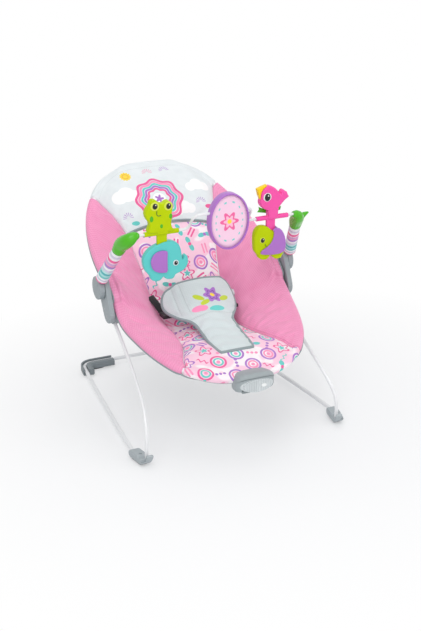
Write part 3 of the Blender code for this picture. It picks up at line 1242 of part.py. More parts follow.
def build_buckles(parent, pivots):
    """Side-release buckles: the socket on the pad's end, the tongue on the strap from the seat."""
    black = material("black_plastic", (0.012, 0.012, 0.013), 0.4)
    half_width, half_height = BUCKLE_WIDTH / 2, BUCKLE_HEIGHT / 2
    back_y = BUCKLE_Y + BUCKLE_LENGTH / 2
    front_y = BUCKLE_Y - BUCKLE_LENGTH / 2
    mouth_y = back_y - BUCKLE_MOUTH
    for side, word in ((-1, "left"), (1, "right")):
        x, z = BUCKLE_X[side], BUCKLE_Z
        socket = finish(f"buckle_socket_{word}", box_between(
            (x - half_width, front_y, z - half_height), (x + half_width, mouth_y, z + half_height), bevel=0.0012),
            black, parent)
        inner = Vector((half_width - BUCKLE_WALL, 0, half_height - BUCKLE_WALL))
        hollow = box_between(Vector((x, front_y + 0.003, z)) - inner, Vector((x, mouth_y + 0.01, z)) + inner)
        carve(socket, [hollow])
        tongue = finish(f"buckle_tongue_{word}", box_between(
            (x - half_width, mouth_y + GAP, z - half_height), (x + half_width, back_y, z + half_height),
            bevel=0.0012), black, pivots[side])
        prongs = []
        prong_tip_y = mouth_y - BUCKLE_TRAVEL + GAP
        reach = inner - Vector((GAP * 2, 0, GAP * 2))
        for way in (-1, 1):
            near, far = sorted((way * 0.0015, way * reach.x))
            prongs.append(box_between((x + near, prong_tip_y, z - reach.z), (x + far, mouth_y + 0.002, z + reach.z)))
        carve(tongue, prongs, "UNION")
        webbing = [Vector((x, back_y + GAP, z)), Vector((x, back_y + STRAP_WIDTH / 4, z))]
        webbing += [Vector(p) for p in STRAP_LINES[side]]
        section = [(STRAP_WIDTH / 2 * a, STRAP_THICKNESS / 2 * b) for a, b in ((-1, -1), (1, -1), (1, 1), (-1, 1))]
        strap = swept_section(webbing, section, path_frames(webbing, Vector((1, 0, 0))))
        finish(f"harness_strap_{word}", strap, black, parent)


def move_to_origin(root):
    """Stand the model on the floor with the middle of its footprint box at X = Y = 0."""
    bpy.context.view_layer.update()
    graph = bpy.context.evaluated_depsgraph_get()
    corners = []
    for obj in bpy.context.scene.objects:
        if obj.type == "MESH" and not obj.hide_render:
            solid = obj.evaluated_get(graph)
            corners += [solid.matrix_world @ vert.co for vert in solid.data.vertices]
    low = Vector(min(p[k] for p in corners) for k in range(3))
    high = Vector(max(p[k] for p in corners) for k in range(3))
    root.location -= Vector(((low.x + high.x) / 2, (low.y + high.y) / 2, low.z))
    bpy.context.view_layer.update()


def main():
    clear_scene()
    root = empty("bouncer_origin", (0, 0, 0))
    build_base(root)
    seat = empty("bounce_pivot", (0, 0, UPRIGHT_PIVOT_Z), root)
    build_seat_panels(seat)
    at_hub, lean = build_seat_frame(seat)
    build_hubs(seat, at_hub, lean)
    build_uprights(seat)
    build_crotch_pad(seat)
    strap_pivots = {side: empty(f"buckle_pivot_{word}", (BUCKLE_X[side], BUCKLE_Y, BUCKLE_Z), seat)
                    for side, word in ((-1, "left"), (1, "right"))}
    build_buckles(seat, strap_pivots)
    button_pivot = empty("button_pivot", (BUTTON_X, UNIT_FRONT_Y, FACE_Z), seat)
    weight_pivot = empty("weight_pivot", (0.028, UNIT_CELL_Y, UNIT_MOTOR_Z), seat)
    build_vibration_unit(seat, button_pivot, weight_pivot, tube_route()[1])
    bar_pivot = empty("toy_bar_pivot", (0, *HUB_TOP), seat)
    pivot_place = Vector((0, *HUB_TOP))
    build_toy_bar(bar_pivot, pivot_place)
    toy_centre = bar_point(0, TOY_BAR_Q, pivot_place)
    disc_centre = bar_point(0, HUMP_Q, pivot_place)
    left_pivot = empty("left_toy_pivot", (-TOY_X, toy_centre.y, toy_centre.z), bar_pivot)
    right_pivot = empty("right_toy_pivot", (TOY_X, toy_centre.y, toy_centre.z), bar_pivot)
    disc_pivot = empty("disc_pivot", (DISC_X, disc_centre.y, disc_centre.z), bar_pivot)
    build_toys(left_pivot, right_pivot, toy_centre)
    build_disc(disc_pivot, disc_centre)
    move_to_origin(root)


main()
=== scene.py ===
import json
import math
from functools import partialmethod

import bmesh
import bpy
import numpy as np
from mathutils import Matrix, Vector


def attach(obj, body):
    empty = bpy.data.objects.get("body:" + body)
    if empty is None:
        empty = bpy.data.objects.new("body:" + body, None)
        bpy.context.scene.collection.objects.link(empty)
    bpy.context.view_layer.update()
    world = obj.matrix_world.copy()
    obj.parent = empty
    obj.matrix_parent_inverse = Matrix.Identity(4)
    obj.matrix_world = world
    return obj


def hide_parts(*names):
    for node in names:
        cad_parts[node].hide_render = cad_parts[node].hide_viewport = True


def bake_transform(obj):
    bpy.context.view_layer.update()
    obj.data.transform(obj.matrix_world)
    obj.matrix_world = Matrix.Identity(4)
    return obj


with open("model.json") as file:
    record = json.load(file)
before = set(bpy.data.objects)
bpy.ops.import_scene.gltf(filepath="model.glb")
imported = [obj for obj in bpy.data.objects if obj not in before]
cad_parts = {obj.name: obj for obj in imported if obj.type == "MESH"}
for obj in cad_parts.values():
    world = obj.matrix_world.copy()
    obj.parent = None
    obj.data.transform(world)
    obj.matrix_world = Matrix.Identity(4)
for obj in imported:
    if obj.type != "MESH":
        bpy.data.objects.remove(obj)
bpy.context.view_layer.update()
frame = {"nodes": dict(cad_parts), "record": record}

SCENE = bpy.context.scene
NODES = frame["nodes"]
TURN = 2 * math.pi

# The seat is drawn with Y = 0 at the front foot sockets; this is where that lies in the frame
SOCKET_Y = next(joint["pos_m"][1] for joint in frame["record"]["behaviour"]["joints"]
                if joint["name"] == "bounce")

# Seat outline, rim and sling, in metres
SEAT_HALF_WIDTH = 0.204
SEAT_FRONT = -0.037
SEAT_BACK = 0.535
SEAT_OUTLINE = (
    (0.0, 0.0), (0.333, 0.014), (0.583, 0.061), (0.765, 0.133), (0.882, 0.22), (0.975, 0.362), (0.99, 0.484),
    (1.0, 0.661), (0.936, 0.792), (0.814, 0.888), (0.613, 0.965), (0.35, 0.993), (0.0, 1.0),
)
RIM_HEIGHT = (
    (-0.037, 0.163), (0.013, 0.177), (0.063, 0.197), (0.129, 0.216), (0.175, 0.23), (0.213, 0.252),
    (0.26, 0.289), (0.307, 0.312), (0.383, 0.355), (0.451, 0.394), (0.5, 0.43), (0.535, 0.46),
)
SLING_HEIGHT = (
    (-0.037, 0.161), (0.0, 0.176), (0.05, 0.19), (0.1, 0.192), (0.15, 0.188), (0.2, 0.186), (0.24, 0.194),
    (0.27, 0.208), (0.3, 0.236), (0.34, 0.29), (0.39, 0.36), (0.45, 0.416), (0.5, 0.449), (0.535, 0.473),
)
CREASE_HALF_WIDTH = (
    (0.013, 0.134), (0.051, 0.114), (0.093, 0.096), (0.13, 0.085), (0.177, 0.078), (0.206, 0.076),
    (0.257, 0.079), (0.287, 0.083), (0.331, 0.09), (0.385, 0.105), (0.43, 0.105), (0.471, 0.098),
    (0.515, 0.07), (0.535, 0.03),
)
FRONT_SEAM_Y = 0.026
HEAD_SEAM_INNER_Y = 0.385
HEAD_SEAM_OUTER_Y = 0.471
CREASE_STATIONS = (0.051, 0.093, 0.13, 0.177, 0.206, 0.257, 0.287, 0.331, HEAD_SEAM_INNER_Y)
PIPING_BOW = 0.012
TUBE_INSET = 0.0105
ROLL_RADIUS = 0.0088
PANEL_INSET = TUBE_INSET + ROLL_RADIUS + 0.0012
HALF_SEAM = 0.0004
HUB_Y = 0.251
HUB_FREE = 0.02
HUB_FULL = 0.031
HUB_COVER_OUT = 0.0088
HUB_COVER_UP = 0.0158
HUB_LIFT = 0.0185

# Fabric cover
SLING_SECTIONS = 56
SLING_POINTS = 84
WING_SECTIONS = 130
WING_POINTS = 26
HEAD_SECTIONS = 72
HEAD_POINTS = 34
ROLL_POINTS = 12
PAD_TOP = 0.0045
PAD_UNDER = 0.0085
SEAM_DROP = 0.003
SEAM_SOFT = 0.007
RIM_RISE = 0.0042
RIM_CALM = 0.022
BUCKLE_ROOM = 0.022
BUCKLE_ROOM_X = 0.0925
BUCKLE_ROOM_Y = 0.2304
FOLD_HEIGHT = 0.0036
FOLD_PITCH = 0.026
CLOTH_CAP = 0.007
CLOTH_FRAMES = 18

# Crotch pad: its middle line as (Y, Z), and at each of its points the two half widths and the droop
PAD_LINE = (
    (0.037, 0.1983), (0.048, 0.1992), (0.065, 0.2015), (0.085, 0.2053), (0.112, 0.212), (0.147, 0.223),
    (0.165, 0.229), (0.186, 0.2372), (0.213, 0.251), (0.237, 0.2697), (0.249, 0.279),
)
PAD_LEFT = (0.0385, 0.04, 0.042, 0.044, 0.044, 0.045, 0.052, 0.071, 0.0865, 0.075, 0.044)
PAD_RIGHT = (0.037, 0.038, 0.039, 0.039, 0.039, 0.042, 0.052, 0.068, 0.0785, 0.073, 0.062)
PAD_DROOPS = (0.0, 0.0, 0.0, 0.001, 0.002, 0.006, 0.01, 0.0165, 0.0205, 0.014, 0.009)
PAD_HALF_THICK = 0.0045
PAD_EDGE_HALF_THICK = 0.0012
PAD_CAP = 0.0035
PAD_BINDING = 0.0034
PAD_STITCH_X = (-0.06, -0.042)
PAD_STITCH_FROM = 0.15
PAD_WAIST = 0.132
PAD_LOOP_STATION = 0.196

# Harness straps
STRAP_WIDTH = 0.016
STRAP_THICKNESS = 0.0016
STRAP_ROUTES = {
    "left": ((-0.0825, 0.2353, 0.2192), (-0.0825, 0.2393, 0.2192), (-0.0905, 0.256, 0.2345),
             (-0.096, 0.2757, 0.2453)),
    "right": ((0.074, 0.2353, 0.2192), (0.074, 0.2393, 0.2192), (0.0725, 0.26, 0.2232),
              (0.07, 0.286, 0.2293)),
}

# Toy bar, in its own plane: X across, Q out from the pivot axis
HUB_TOP = (0.25, 0.2945)
BAR_LEAN_DEG = 128.7
ARM_LEAN_DEG = 125.5
ARM_FOOT_X = 0.2235
ARM_FOOT_Q = 0.012
ARM_TOP_X = 0.202
ARM_TOP_Q = 0.124
SLEEVE_START_Q = 0.031
SLEEVE_BASE_RADIUS = 0.013
SLEEVE_TOP_RADIUS = 0.012
BUD_RADIUS = 0.0142
BUD_SWELL = (
    (0.0, 0.9), (0.12, 0.98), (0.35, 1.08), (0.55, 1.06), (0.72, 0.95), (0.86, 0.76), (0.95, 0.55),
    (1.0, 0.36),
)
TOY_BAR_Q = 0.1825
HUMP_Q = 0.228
TOY_X = 0.124
TOY_THICKNESS = 0.017
LOWER_TOY_THICKNESS = 0.015
DISC_X = 0.01
DISC_DROP = 0.02
DISC_HALF_WIDTH = 0.044
DISC_HALF_HEIGHT = 0.059
DISC_HALF_THICKNESS = 0.01
DISC_RIM = 0.0035

# Prints and reliefs
PRINT_CELL = 0.047
PRINT_LEAN_DEG = 24
HEAD_SLOPE_DEG = 38.0
STITCH_PITCH = 0.0034
UNIT_RIB_PITCH = 0.0052
UNIT_FACE_WIDE = 0.0365
UNIT_FACE_TALL = 0.014
UNIT_FACE_AT = 0.52

# Camera, fitted to the photograph
CAMERA_TARGET = Vector((0, -0.06543, 0.2235))
CAMERA_AZIMUTH = -24.4
CAMERA_ELEVATION = 22.35
CAMERA_DISTANCE = 2.555
CAMERA_LENS = 68.46


# Numbers and curves

def clamp(value, low=0.0, high=1.0):
    return min(max(value, low), high)


def smooth_step(low, high, value):
    t = clamp((value - low) / (high - low))
    return t * t * (3 - 2 * t)


def profile(stations):
    """A smooth curve through (position, value) pairs, as a function of the position."""
    xs, ys = zip(*stations)
    last = len(xs) - 1
    slopes = []
    for i in range(last + 1):
        low, high = max(i - 1, 0), min(i + 1, last)
        slopes.append((ys[high] - ys[low]) / (xs[high] - xs[low]))

    def value(x):
        x = clamp(x, xs[0], xs[-1])
        i = next(k for k in range(last) if x <= xs[k + 1])
        span = xs[i + 1] - xs[i]
        t = (x - xs[i]) / span
        return (ys[i] * (2 * t**3 - 3 * t**2 + 1) + slopes[i] * span * (t**3 - 2 * t**2 + t)
                + ys[i + 1] * (3 * t**2 - 2 * t**3) + slopes[i + 1] * span * (t**3 - t**2))

    return value


def run_lengths(points):
    """How far along a polyline each of its points lies."""
    run = [0.0]
    for a, b in zip(points, points[1:]):
        run.append(run[-1] + (b - a).length)
    return run


def even(points, count):
    """The same polyline with evenly spaced points."""
    run = run_lengths(points)
    found, k = [], 0
    for i in range(count):
        target = run[-1] * i / (count - 1)
        while k < len(points) - 2 and run[k + 1] < target:
            k += 1
        step = run[k + 1] - run[k] or 1.0
        found.append(points[k].lerp(points[k + 1], (target - run[k]) / step))
    return found


def smooth_curve(points, count, closed=False):
    """Points evenly spaced along a Catmull-Rom curve through the given ones."""
    pts = [Vector(p) for p in points]
    n = len(pts)
    fine = []
    for i in range(n if closed else n - 1):
        a, b, c, d = (pts[k % n if closed else clamp(k, 0, n - 1)] for k in range(i - 1, i + 3))
        for k in range(24):
            t = k / 24
            fine.append(0.5 * (2 * b + (c - a) * t + (2 * a - 5 * b + 4 * c - d) * t**2
                               + (3 * b - a - 3 * c + d) * t**3))
    fine.append(fine[0].copy() if closed else pts[-1].copy())
    return even(fine, count + 1)[:-1] if closed else even(fine, count)


def heading(points, i, closed=False):
    """The direction in which a line runs at one of its points."""
    if closed:
        return (points[(i + 1) % len(points)] - points[i - 1]).normalized()
    return (points[min(i + 1, len(points) - 1)] - points[max(i - 1, 0)]).normalized()


def path_frames(points, side=Vector((0, 0, 1)), closed=False):
    """Two directions across the path at each point, carried along it without twist."""
    frames = []
    for i in range(len(points)):
        ahead = heading(points, i, closed)
        side = side - ahead * side.dot(ahead)
        side = side.normalized() if side.length > 1e-4 else ahead.orthogonal()
        frames.append((side, ahead.cross(side).normalized()))
    return frames


def sideways(points, length=1.0, closed=False):
    """Steps in plan square to a line, to the right of the way it runs."""
    steps = []
    for i in range(len(points)):
        ahead = heading(points, i, closed)
        steps.append(Vector((ahead.y, -ahead.x)) * length)
    return steps


def offset_line(points, distance, closed=False):
    return [point + step for point, step in zip(points, sideways(points, distance, closed))]


def mirrored(points):
    return [Vector((-p.x, p.y)) for p in points]


def oval(half_width, half_height, count):
    turns = [TURN * k / count for k in range(count)]
    return [(half_width * math.cos(turn), half_height * math.sin(turn)) for turn in turns]


# The seat's own surfaces

rim_height = profile(RIM_HEIGHT)
sling_height = profile(SLING_HEIGHT)
crease_half_width = profile(CREASE_HALF_WIDTH)


def half_outline(inset, count=144):
    """The right half of the seat's outline in plan, from the front middle to the head middle."""
    length = SEAT_BACK - SEAT_FRONT
    right = [Vector((x * SEAT_HALF_WIDTH, SEAT_FRONT + y * length)) for x, y in SEAT_OUTLINE]
    loop = smooth_curve(right + mirrored(right[-2:0:-1]), count * 2, closed=True)
    half = offset_line(loop, -inset, closed=True)[: count + 1]
    half[0].x = half[-1].x = 0.0
    return half


rim_half_width = profile((p.y, p.x) for p in half_outline(0.0, 72))


def seat_height(x, y):
    """Height of the seat's top surface: a flat sling between two rising, rounded wings."""
    inner, outer = crease_half_width(y), max(rim_half_width(y), 1e-3)
    across = 0.0 if outer <= inner else clamp((abs(x) - inner) / (outer - inner))
    blend = math.sin(across * math.pi / 2)
    return sling_height(y) * (1 - blend) + rim_height(y) * blend


def above_seat(point, rise=0.0):
    return Vector((point.x, point.y, seat_height(point.x, point.y) + rise))


def along_sling(y):
    """Distance along the sling's middle line from its front."""
    steps = 24
    run, step = 0.0, (y - SEAT_FRONT) / steps
    for k in range(steps):
        a = SEAT_FRONT + step * k
        run += math.hypot(step, sling_height(a + step) - sling_height(a))
    return run


def placed(point):
    """A point of the seat's coordinates, in the frame's."""
    return Vector((point[0], point[1] + SOCKET_Y, point[2]))


def part_of(half, y_from, y_to):
    """The stretch of a half outline between two distances along Y, ends included."""
    found = []
    for a, b in zip(half, half[1:]):
        for y in sorted({y_from, y_to}):
            if a.y < y <= b.y:
                found.append(a.lerp(b, (y - a.y) / (b.y - a.y)))
        if y_from < b.y < y_to:
            found.append(b)
    if half[0].y >= y_from:
        found.insert(0, half[0])
    if half[-1].y <= y_to and found[-1] is not half[-1]:
        found.append(half[-1])
    return sorted(found, key=lambda p: p.y)


def crease_line(half, count=15):
    """The seam between sling and right wing, from the front rim to the head seam."""
    outer = part_of(half, FRONT_SEAM_Y, FRONT_SEAM_Y + 0.001)[0]
    return smooth_curve([outer] + [Vector((crease_half_width(y), y)) for y in CREASE_STATIONS], count)


def patch_lines(bottom, top, left, right):
    """Lines of plan points from bottom to top, which fill four boundary lines."""
    lines = []
    for i, (low, high) in enumerate(zip(bottom, top)):
        s = i / (len(bottom) - 1)
        line = []
        for j, (near, far) in enumerate(zip(left, right)):
            t = j / (len(left) - 1)
            corners = bottom[0].lerp(bottom[-1], s).lerp(top[0].lerp(top[-1], s), t)
            line.append(low.lerp(high, t) + near.lerp(far, s) - corners)
        lines.append(line)
    return lines


# Mesh building, in the frame's coordinates

def mesh_object(name, vertices, faces, smooth=True):
    mesh = bpy.data.meshes.new(name)
    mesh.from_pydata(vertices, [], faces)
    mesh.validate()
    if smooth:
        mesh.shade_smooth()
    obj = bpy.data.objects.new(name, mesh)
    SCENE.collection.objects.link(obj)
    return obj


def keep_flat(obj, places):
    """Keeps the cloth's own coordinates on its vertices, for the weave and the print."""
    attribute = obj.data.attributes.new("flat", "FLOAT_VECTOR", "POINT")
    attribute.data.foreach_set("vector", np.array(places, np.float32).ravel())


def outward(obj, merge=0.0):
    """Turns a closed mesh's faces outward, and first joins the points that lie together."""
    shape = bmesh.new()
    shape.from_mesh(obj.data)
    if merge:
        bmesh.ops.remove_doubles(shape, verts=shape.verts[:], dist=merge)
    bmesh.ops.recalc_face_normals(shape, faces=shape.faces[:])
    shape.to_mesh(obj.data)
    shape.free()
    obj.data.shade_smooth()


def quads(rings, sides, closed=False, first=0):
    """Faces between rings of points that follow each other."""
    faces = []
    for j in range(rings if closed else rings - 1):
        a, b = first + j * sides, first + (j + 1) % rings * sides
        for k in range(sides):
            n = (k + 1) % sides
            faces.append((a + k, a + n, b + n, b + k))
    return faces


def end_caps(sides, total):
    return [tuple(range(sides))[::-1], tuple(range(total - sides, total))]


def tube_mesh(name, points, radius, sides=10, closed=False, flat=1.0, frames=None):
    """A round or flattened bar along a path; a list gives each point a radius of its own."""
    frames = frames or path_frames(points, closed=closed)
    radii = radius if isinstance(radius, list) else [radius] * len(points)
    vertices = []
    for point, (u, v), r in zip(points, frames, radii):
        vertices += [point + u * a + v * b for a, b in oval(r * flat, r, sides)]
    faces = quads(len(points), sides, closed)
    if not closed:
        faces += end_caps(sides, len(vertices))
    return mesh_object(name, vertices, faces)


def carry(obj, body, material):
    """Gives a finished piece its material and the body that it rides on."""
    obj.data.materials.append(material)
    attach(obj, body)


# Materials

def link(source, target):
    """Feeds a socket from another socket or a Field, or sets it to plain numbers."""
    if isinstance(source, Field):
        source = source.socket
    if isinstance(source, bpy.types.NodeSocket):
        target.id_data.links.new(source, target)
    else:
        target.default_value = source


class Field:
    """A number in a material's node tree; ordinary arithmetic on it adds Math nodes."""

    def __init__(self, socket):
        self.socket = socket

    def math(self, operation, *others, clamped=False):
        node = self.socket.id_data.nodes.new("ShaderNodeMath")
        node.operation = operation
        node.use_clamp = clamped
        for slot, value in zip(node.inputs, (self, *others)):
            link(value, slot)
        return Field(node.outputs[0])

    __add__ = partialmethod(math, "ADD")
    __sub__ = partialmethod(math, "SUBTRACT")
    __mul__ = partialmethod(math, "MULTIPLY")
    __truediv__ = partialmethod(math, "DIVIDE")
    sin = partialmethod(math, "SINE")
    cos = partialmethod(math, "COSINE")
    abs = partialmethod(math, "ABSOLUTE")
    floor = partialmethod(math, "FLOOR")
    most = partialmethod(math, "MAXIMUM")
    above = partialmethod(math, "GREATER_THAN")
    below = partialmethod(math, "LESS_THAN")

    def clamped(self):
        """The field kept within 0 and 1."""
        return self.math("ADD", 0.0, clamped=True)

    def under(self, limit=0.0, soft=0.0004):
        """1 where the field is below a limit and 0 above it, with a soft edge."""
        return ((self - limit) * (-1 / soft) + 0.5).clamped()

    def over(self, limit, soft=0.0004):
        return self.under(limit, -soft)

    def near(self, value, reach, soft=0.0004):
        """1 where the field lies within reach of a value, with soft edges."""
        return (self - value).abs().under(reach, soft)


def length_of(x, y):
    return (x * x + y * y).math("SQRT")


def around(x, y, centre):
    """Two coordinates, the distance and the angle, all from a centre."""
    x, y = x - centre[0], y - centre[1]
    return x, y, length_of(x, y), y.math("ARCTAN2", x)


def turned(x, y, cosine, sine):
    """Two coordinates, read in axes that are turned."""
    return x * cosine + y * sine, y * cosine - x * sine


def flower(radius, angle, petals, depth, size):
    """How far a point lies outside a flower's outline."""
    return radius - ((angle * petals).cos() * depth + size)


def srgb(red, green, blue):
    """A colour as it is read off a screen, 0 to 255, as the linear values that Blender takes."""
    values = []
    for value in (red, green, blue):
        value /= 255
        values.append(value / 12.92 if value <= 0.04045 else ((value + 0.055) / 1.055) ** 2.4)
    return (*values, 1.0)


def darker(colour, share):
    return tuple(value * share for value in colour[:3]) + (1.0,)


def new_material(name, colour, roughness, **sockets):
    material = bpy.data.materials.new(name)
    material.use_nodes = True
    shader = material.node_tree.nodes["Principled BSDF"]
    shader.inputs["Base Color"].default_value = colour
    shader.inputs["Roughness"].default_value = roughness
    for socket, value in sockets.items():
        shader.inputs[socket.replace("_", " ")].default_value = value
    return material, shader


def axes(vector):
    split = vector.id_data.nodes.new("ShaderNodeSeparateXYZ")
    link(vector, split.inputs[0])
    return [Field(output) for output in split.outputs]


def new_cloth(name, colour, sheen=0.25):
    """A matt material, its shader and the cloth's own coordinates, in metres, kept on its vertices."""
    material, shader = new_material(name, colour, 0.85, Sheen_Weight=sheen, Sheen_Roughness=0.5)
    attribute = shader.id_data.nodes.new("ShaderNodeAttribute")
    attribute.attribute_name = "flat"
    place = attribute.outputs["Vector"]
    return material, shader, place, *axes(place)


def position(shader):
    """The point's own place on the object at rest."""
    return shader.id_data.nodes.new("ShaderNodeTexCoord").outputs["Object"]


def noise(vector, scale, detail=3.0):
    node = vector.id_data.nodes.new("ShaderNodeTexNoise")
    node.inputs["Scale"].default_value = scale
    node.inputs["Detail"].default_value = detail
    link(vector, node.inputs["Vector"])
    return Field(node.outputs[0])


def mixed(share, first, second):
    """A colour between two: each is a socket or four numbers."""
    node = share.socket.id_data.nodes.new("ShaderNodeMix")
    node.data_type = "RGBA"
    for slot, value in ((0, share), (6, first), (7, second)):
        link(value, node.inputs[slot])
    return node.outputs[2]


def coated(colour, *coats):
    """A colour with others laid over it in turn, each by its own share."""
    for share, tint in coats:
        colour = mixed(share, colour, tint)
    return colour


def dress(shader, colour, relief, depth, strength=1.0):
    """Gives a shader its colour and its relief."""
    node = shader.id_data.nodes.new("ShaderNodeBump")
    node.inputs["Distance"].default_value = depth
    node.inputs["Strength"].default_value = strength
    link(relief, node.inputs["Height"])
    link(node.outputs[0], shader.inputs["Normal"])
    link(colour, shader.inputs["Base Color"])


def ranged(field, low, high):
    """A field of 0 to 1 turned to low to high."""
    return field * (high - low) + low


def basket_weave(u, v, pitch):
    """Threads that pass over one way and under the other."""
    return (u * (TURN / pitch)).sin() * (v * (TURN / pitch)).sin()


def soft_check(u, v, pitch):
    return ((u * (TURN / pitch)).sin() + (v * (TURN / pitch)).sin()) * 0.25 + 0.5


def stitches(u, distance):
    """A row of sewn stitches along u, where the distance from it is zero."""
    return distance.near(0.0, 0.0005, 0.0003) * (u * (TURN / STITCH_PITCH)).sin().over(-0.35, 0.4)


def woven(name, colour, shade, pitch, depth=0.0003, check_share=0.3, drift_share=0.55, seam=0.0):
    """Woven cloth: thread relief, a small check, slow colour drift and, where asked, a row of stitches."""
    material, shader, place, u, v, _ = new_cloth(name, colour)
    check = soft_check(u, v, pitch)
    drift = noise(place, 45.0)
    tint = mixed((check * check_share + drift * drift_share + 0.02).clamped(), colour, shade)
    relief = check * 0.7 + basket_weave(u, v, pitch / 3) * 0.3 + drift
    if seam:
        row = stitches(u, v - seam)
        tint = mixed(row * 0.55, tint, darker(shade, 0.55))
        relief = relief - row * 1.5
    dress(shader, tint, relief, depth, 0.8)
    return material


def motif_grid(u, v, shift, jitter):
    """Coordinates round a point in each square cell, moved a little at random, and three random numbers."""
    nodes = u.socket.id_data.nodes
    column, row = (u / PRINT_CELL + shift).floor(), (v / PRINT_CELL + shift).floor()
    chances = []
    for moved in (0.0, 57.0):
        cell = nodes.new("ShaderNodeCombineXYZ")
        link(column + (shift * 9 + moved), cell.inputs[0])
        link(row + moved, cell.inputs[1])
        white = nodes.new("ShaderNodeTexWhiteNoise")
        white.noise_dimensions = "2D"
        link(cell.outputs[0], white.inputs["Vector"])
        chances.append(axes(white.outputs["Color"]))
    move, pick = chances
    x = u - (column + (0.5 - shift)) * PRINT_CELL - (move[0] - 0.5) * jitter
    y = v - (row + (0.5 - shift)) * PRINT_CELL - (move[1] - 0.5) * jitter
    return x, y, pick


def sling_print():
    """Woven cloth with blossoms, hoops, leaves, dots, bars and waves on white clouded pink."""
    material, shader, place, along, across, _ = new_cloth("printed_cloth", PRINT_GROUND, 0.2)
    lean = math.radians(PRINT_LEAN_DEG)
    u, v = turned(along, across, math.cos(lean), math.sin(lean))
    cloud = noise(place, 21.0, 1.0)
    colour = mixed(((cloud - 0.53) * 18).clamped(), PRINT_GROUND, PRINT_LIGHT)

    x, y, (kind, hue, spin) = motif_grid(u, v, 0.0, 0.008)
    radius = length_of(x, y)
    angle = y.math("ARCTAN2", x) + spin * TURN
    main = mixed(hue.above(0.4), HOT_PINK, LILAC)
    second = mixed(hue.above(0.7), TURQUOISE, MID_PINK)
    core = radius.under(0.004)
    blossom = flower(radius, angle, 5, 0.004, 0.013).near(0.0, 0.002)
    blossom_heart = flower(radius, angle, 5, 0.0018, 0.0058).under()
    x, y = turned(x, y, (spin * TURN).cos(), (spin * TURN).sin())
    leaves = length_of((x.abs() - 0.009).abs() * 0.62, y).under(0.0052)
    motifs = [
        (0.0, 0.42, radius.near(0.0152, 0.0021), main), (0.0, 0.42, radius.near(0.0092, 0.0019), second),
        (0.0, 0.42, core, MID_PINK), (0.42, 0.8, blossom, main), (0.42, 0.8, blossom_heart, second),
        (0.8, 1.01, leaves, second), (0.8, 1.01, core, main),
    ]
    for low, high, shape, tint in motifs:
        colour = mixed(shape * (kind.above(low) * kind.below(high)), colour, tint)

    x, y, (kind, hue, spin) = motif_grid(u, v, 0.5, 0.006)
    x, y = turned(x, y, (spin * TURN).cos(), (spin * TURN).sin())
    ink = coated(MID_PINK, (hue.above(0.35), HOT_PINK), (hue.above(0.62), LILAC),
                 (hue.above(0.82), TURQUOISE))
    third = x - (x / 0.0088 + 0.5).floor() * 0.0088
    dots = length_of(third, y).under(0.0034) * x.near(0.0, 0.0128)
    bars = length_of((x.abs() - 0.0095).most(0.0), (y.abs() - 0.004).abs()).under(0.002)
    wave = (y - (x * 520).sin() * 0.0028).near(0.0, 0.0018) * x.near(0.0, 0.0125)
    for low, high, shape in ((0.0, 0.34, dots), (0.34, 0.7, bars), (0.7, 1.01, wave)):
        colour = mixed(shape * (kind.above(low) * kind.below(high)), colour, ink)
    dress(shader, colour, basket_weave(along, across, 0.0016) + cloud * 2, 0.0002, 0.7)
    return material


def head_print():
    """Pale woven cloth with one large ringed blossom, clouds, sprigs and a small yellow bloom."""
    material, shader, place, along, across, edge = new_cloth("head_cloth", PALE_GREY)
    x, y, z = axes(position(shader))
    lean = math.radians(HEAD_SLOPE_DEG)
    up, _ = turned(y - (SOCKET_Y + HEAD_SEAM_INNER_Y), z - sling_height(HEAD_SEAM_INNER_Y),
                   math.cos(lean), math.sin(lean))
    drift = noise(place, 45.0)
    colour = mixed(drift, PALE_GREY, PALE_GREY_SHADE)
    for *centre, size in ((-0.098, 0.088, 0.017), (-0.08, 0.094, 0.02), (-0.061, 0.088, 0.015),
                          (0.092, 0.1, 0.016), (0.11, 0.094, 0.013), (0.075, 0.094, 0.012),
                          (0.03, 0.04, 0.012), (0.046, 0.045, 0.015), (0.06, 0.04, 0.011)):
        _, _, radius, _ = around(x, up, centre)
        colour = mixed(radius.under(size, 0.001), colour, HEAD_CLOUD)
    _, _, radius, angle = around(x, up, (-0.008, 0.072))
    ripple = (angle * 8).cos() * 0.0032
    for size, reach, tint in ((0.052, 0.0031, HOT_PINK), (0.045, 0.0029, MID_PINK),
                              (0.0385, 0.0026, TURQUOISE), (0.032, 0.0027, LILAC),
                              (0.0255, 0.0027, HOT_PINK)):
        colour = mixed((radius - ripple * (size / 0.05)).near(size, reach), colour, tint)
    colour = coated(colour, (radius.under(0.015), HEAD_CLOUD),
                    (flower(radius, angle, 5, 0.003, 0.008).under(), LILAC))
    _, _, radius, angle = around(x, up, (-0.066, 0.146))
    colour = coated(colour, (flower(radius, angle, 12, 0.0012, 0.0125).under(), BLOOM_YELLOW),
                    (radius.near(0.0068, 0.001), srgb(240, 176, 60)))
    for *centre, tint in ((-0.092, 0.036, LILAC), (0.088, 0.052, LILAC), (0.03, 0.152, LILAC),
                          (-0.012, 0.15, HOT_PINK)):
        _, dy, radius, angle = around(x, up, centre)
        rays = (angle * 7).sin().abs().under(0.42, 0.2) * radius.near(0.0078, 0.0042)
        colour = mixed(rays * dy.over(-0.001), colour, tint)
    for *centre, tint in ((-0.078, 0.022, TURQUOISE), (0.105, 0.04, HOT_PINK)):
        dx, dy, _, _ = around(x, up, centre)
        colour = mixed(length_of(dx * 0.5, dy).under(0.0048), colour, tint)
    row = stitches(along, edge - 0.0045)
    colour = mixed(row * 0.4, colour, darker(PALE_GREY_SHADE, 0.6))
    dress(shader, colour, basket_weave(along, across, 0.0016) + drift * 2 - row * 2, 0.0002, 0.7)
    return material


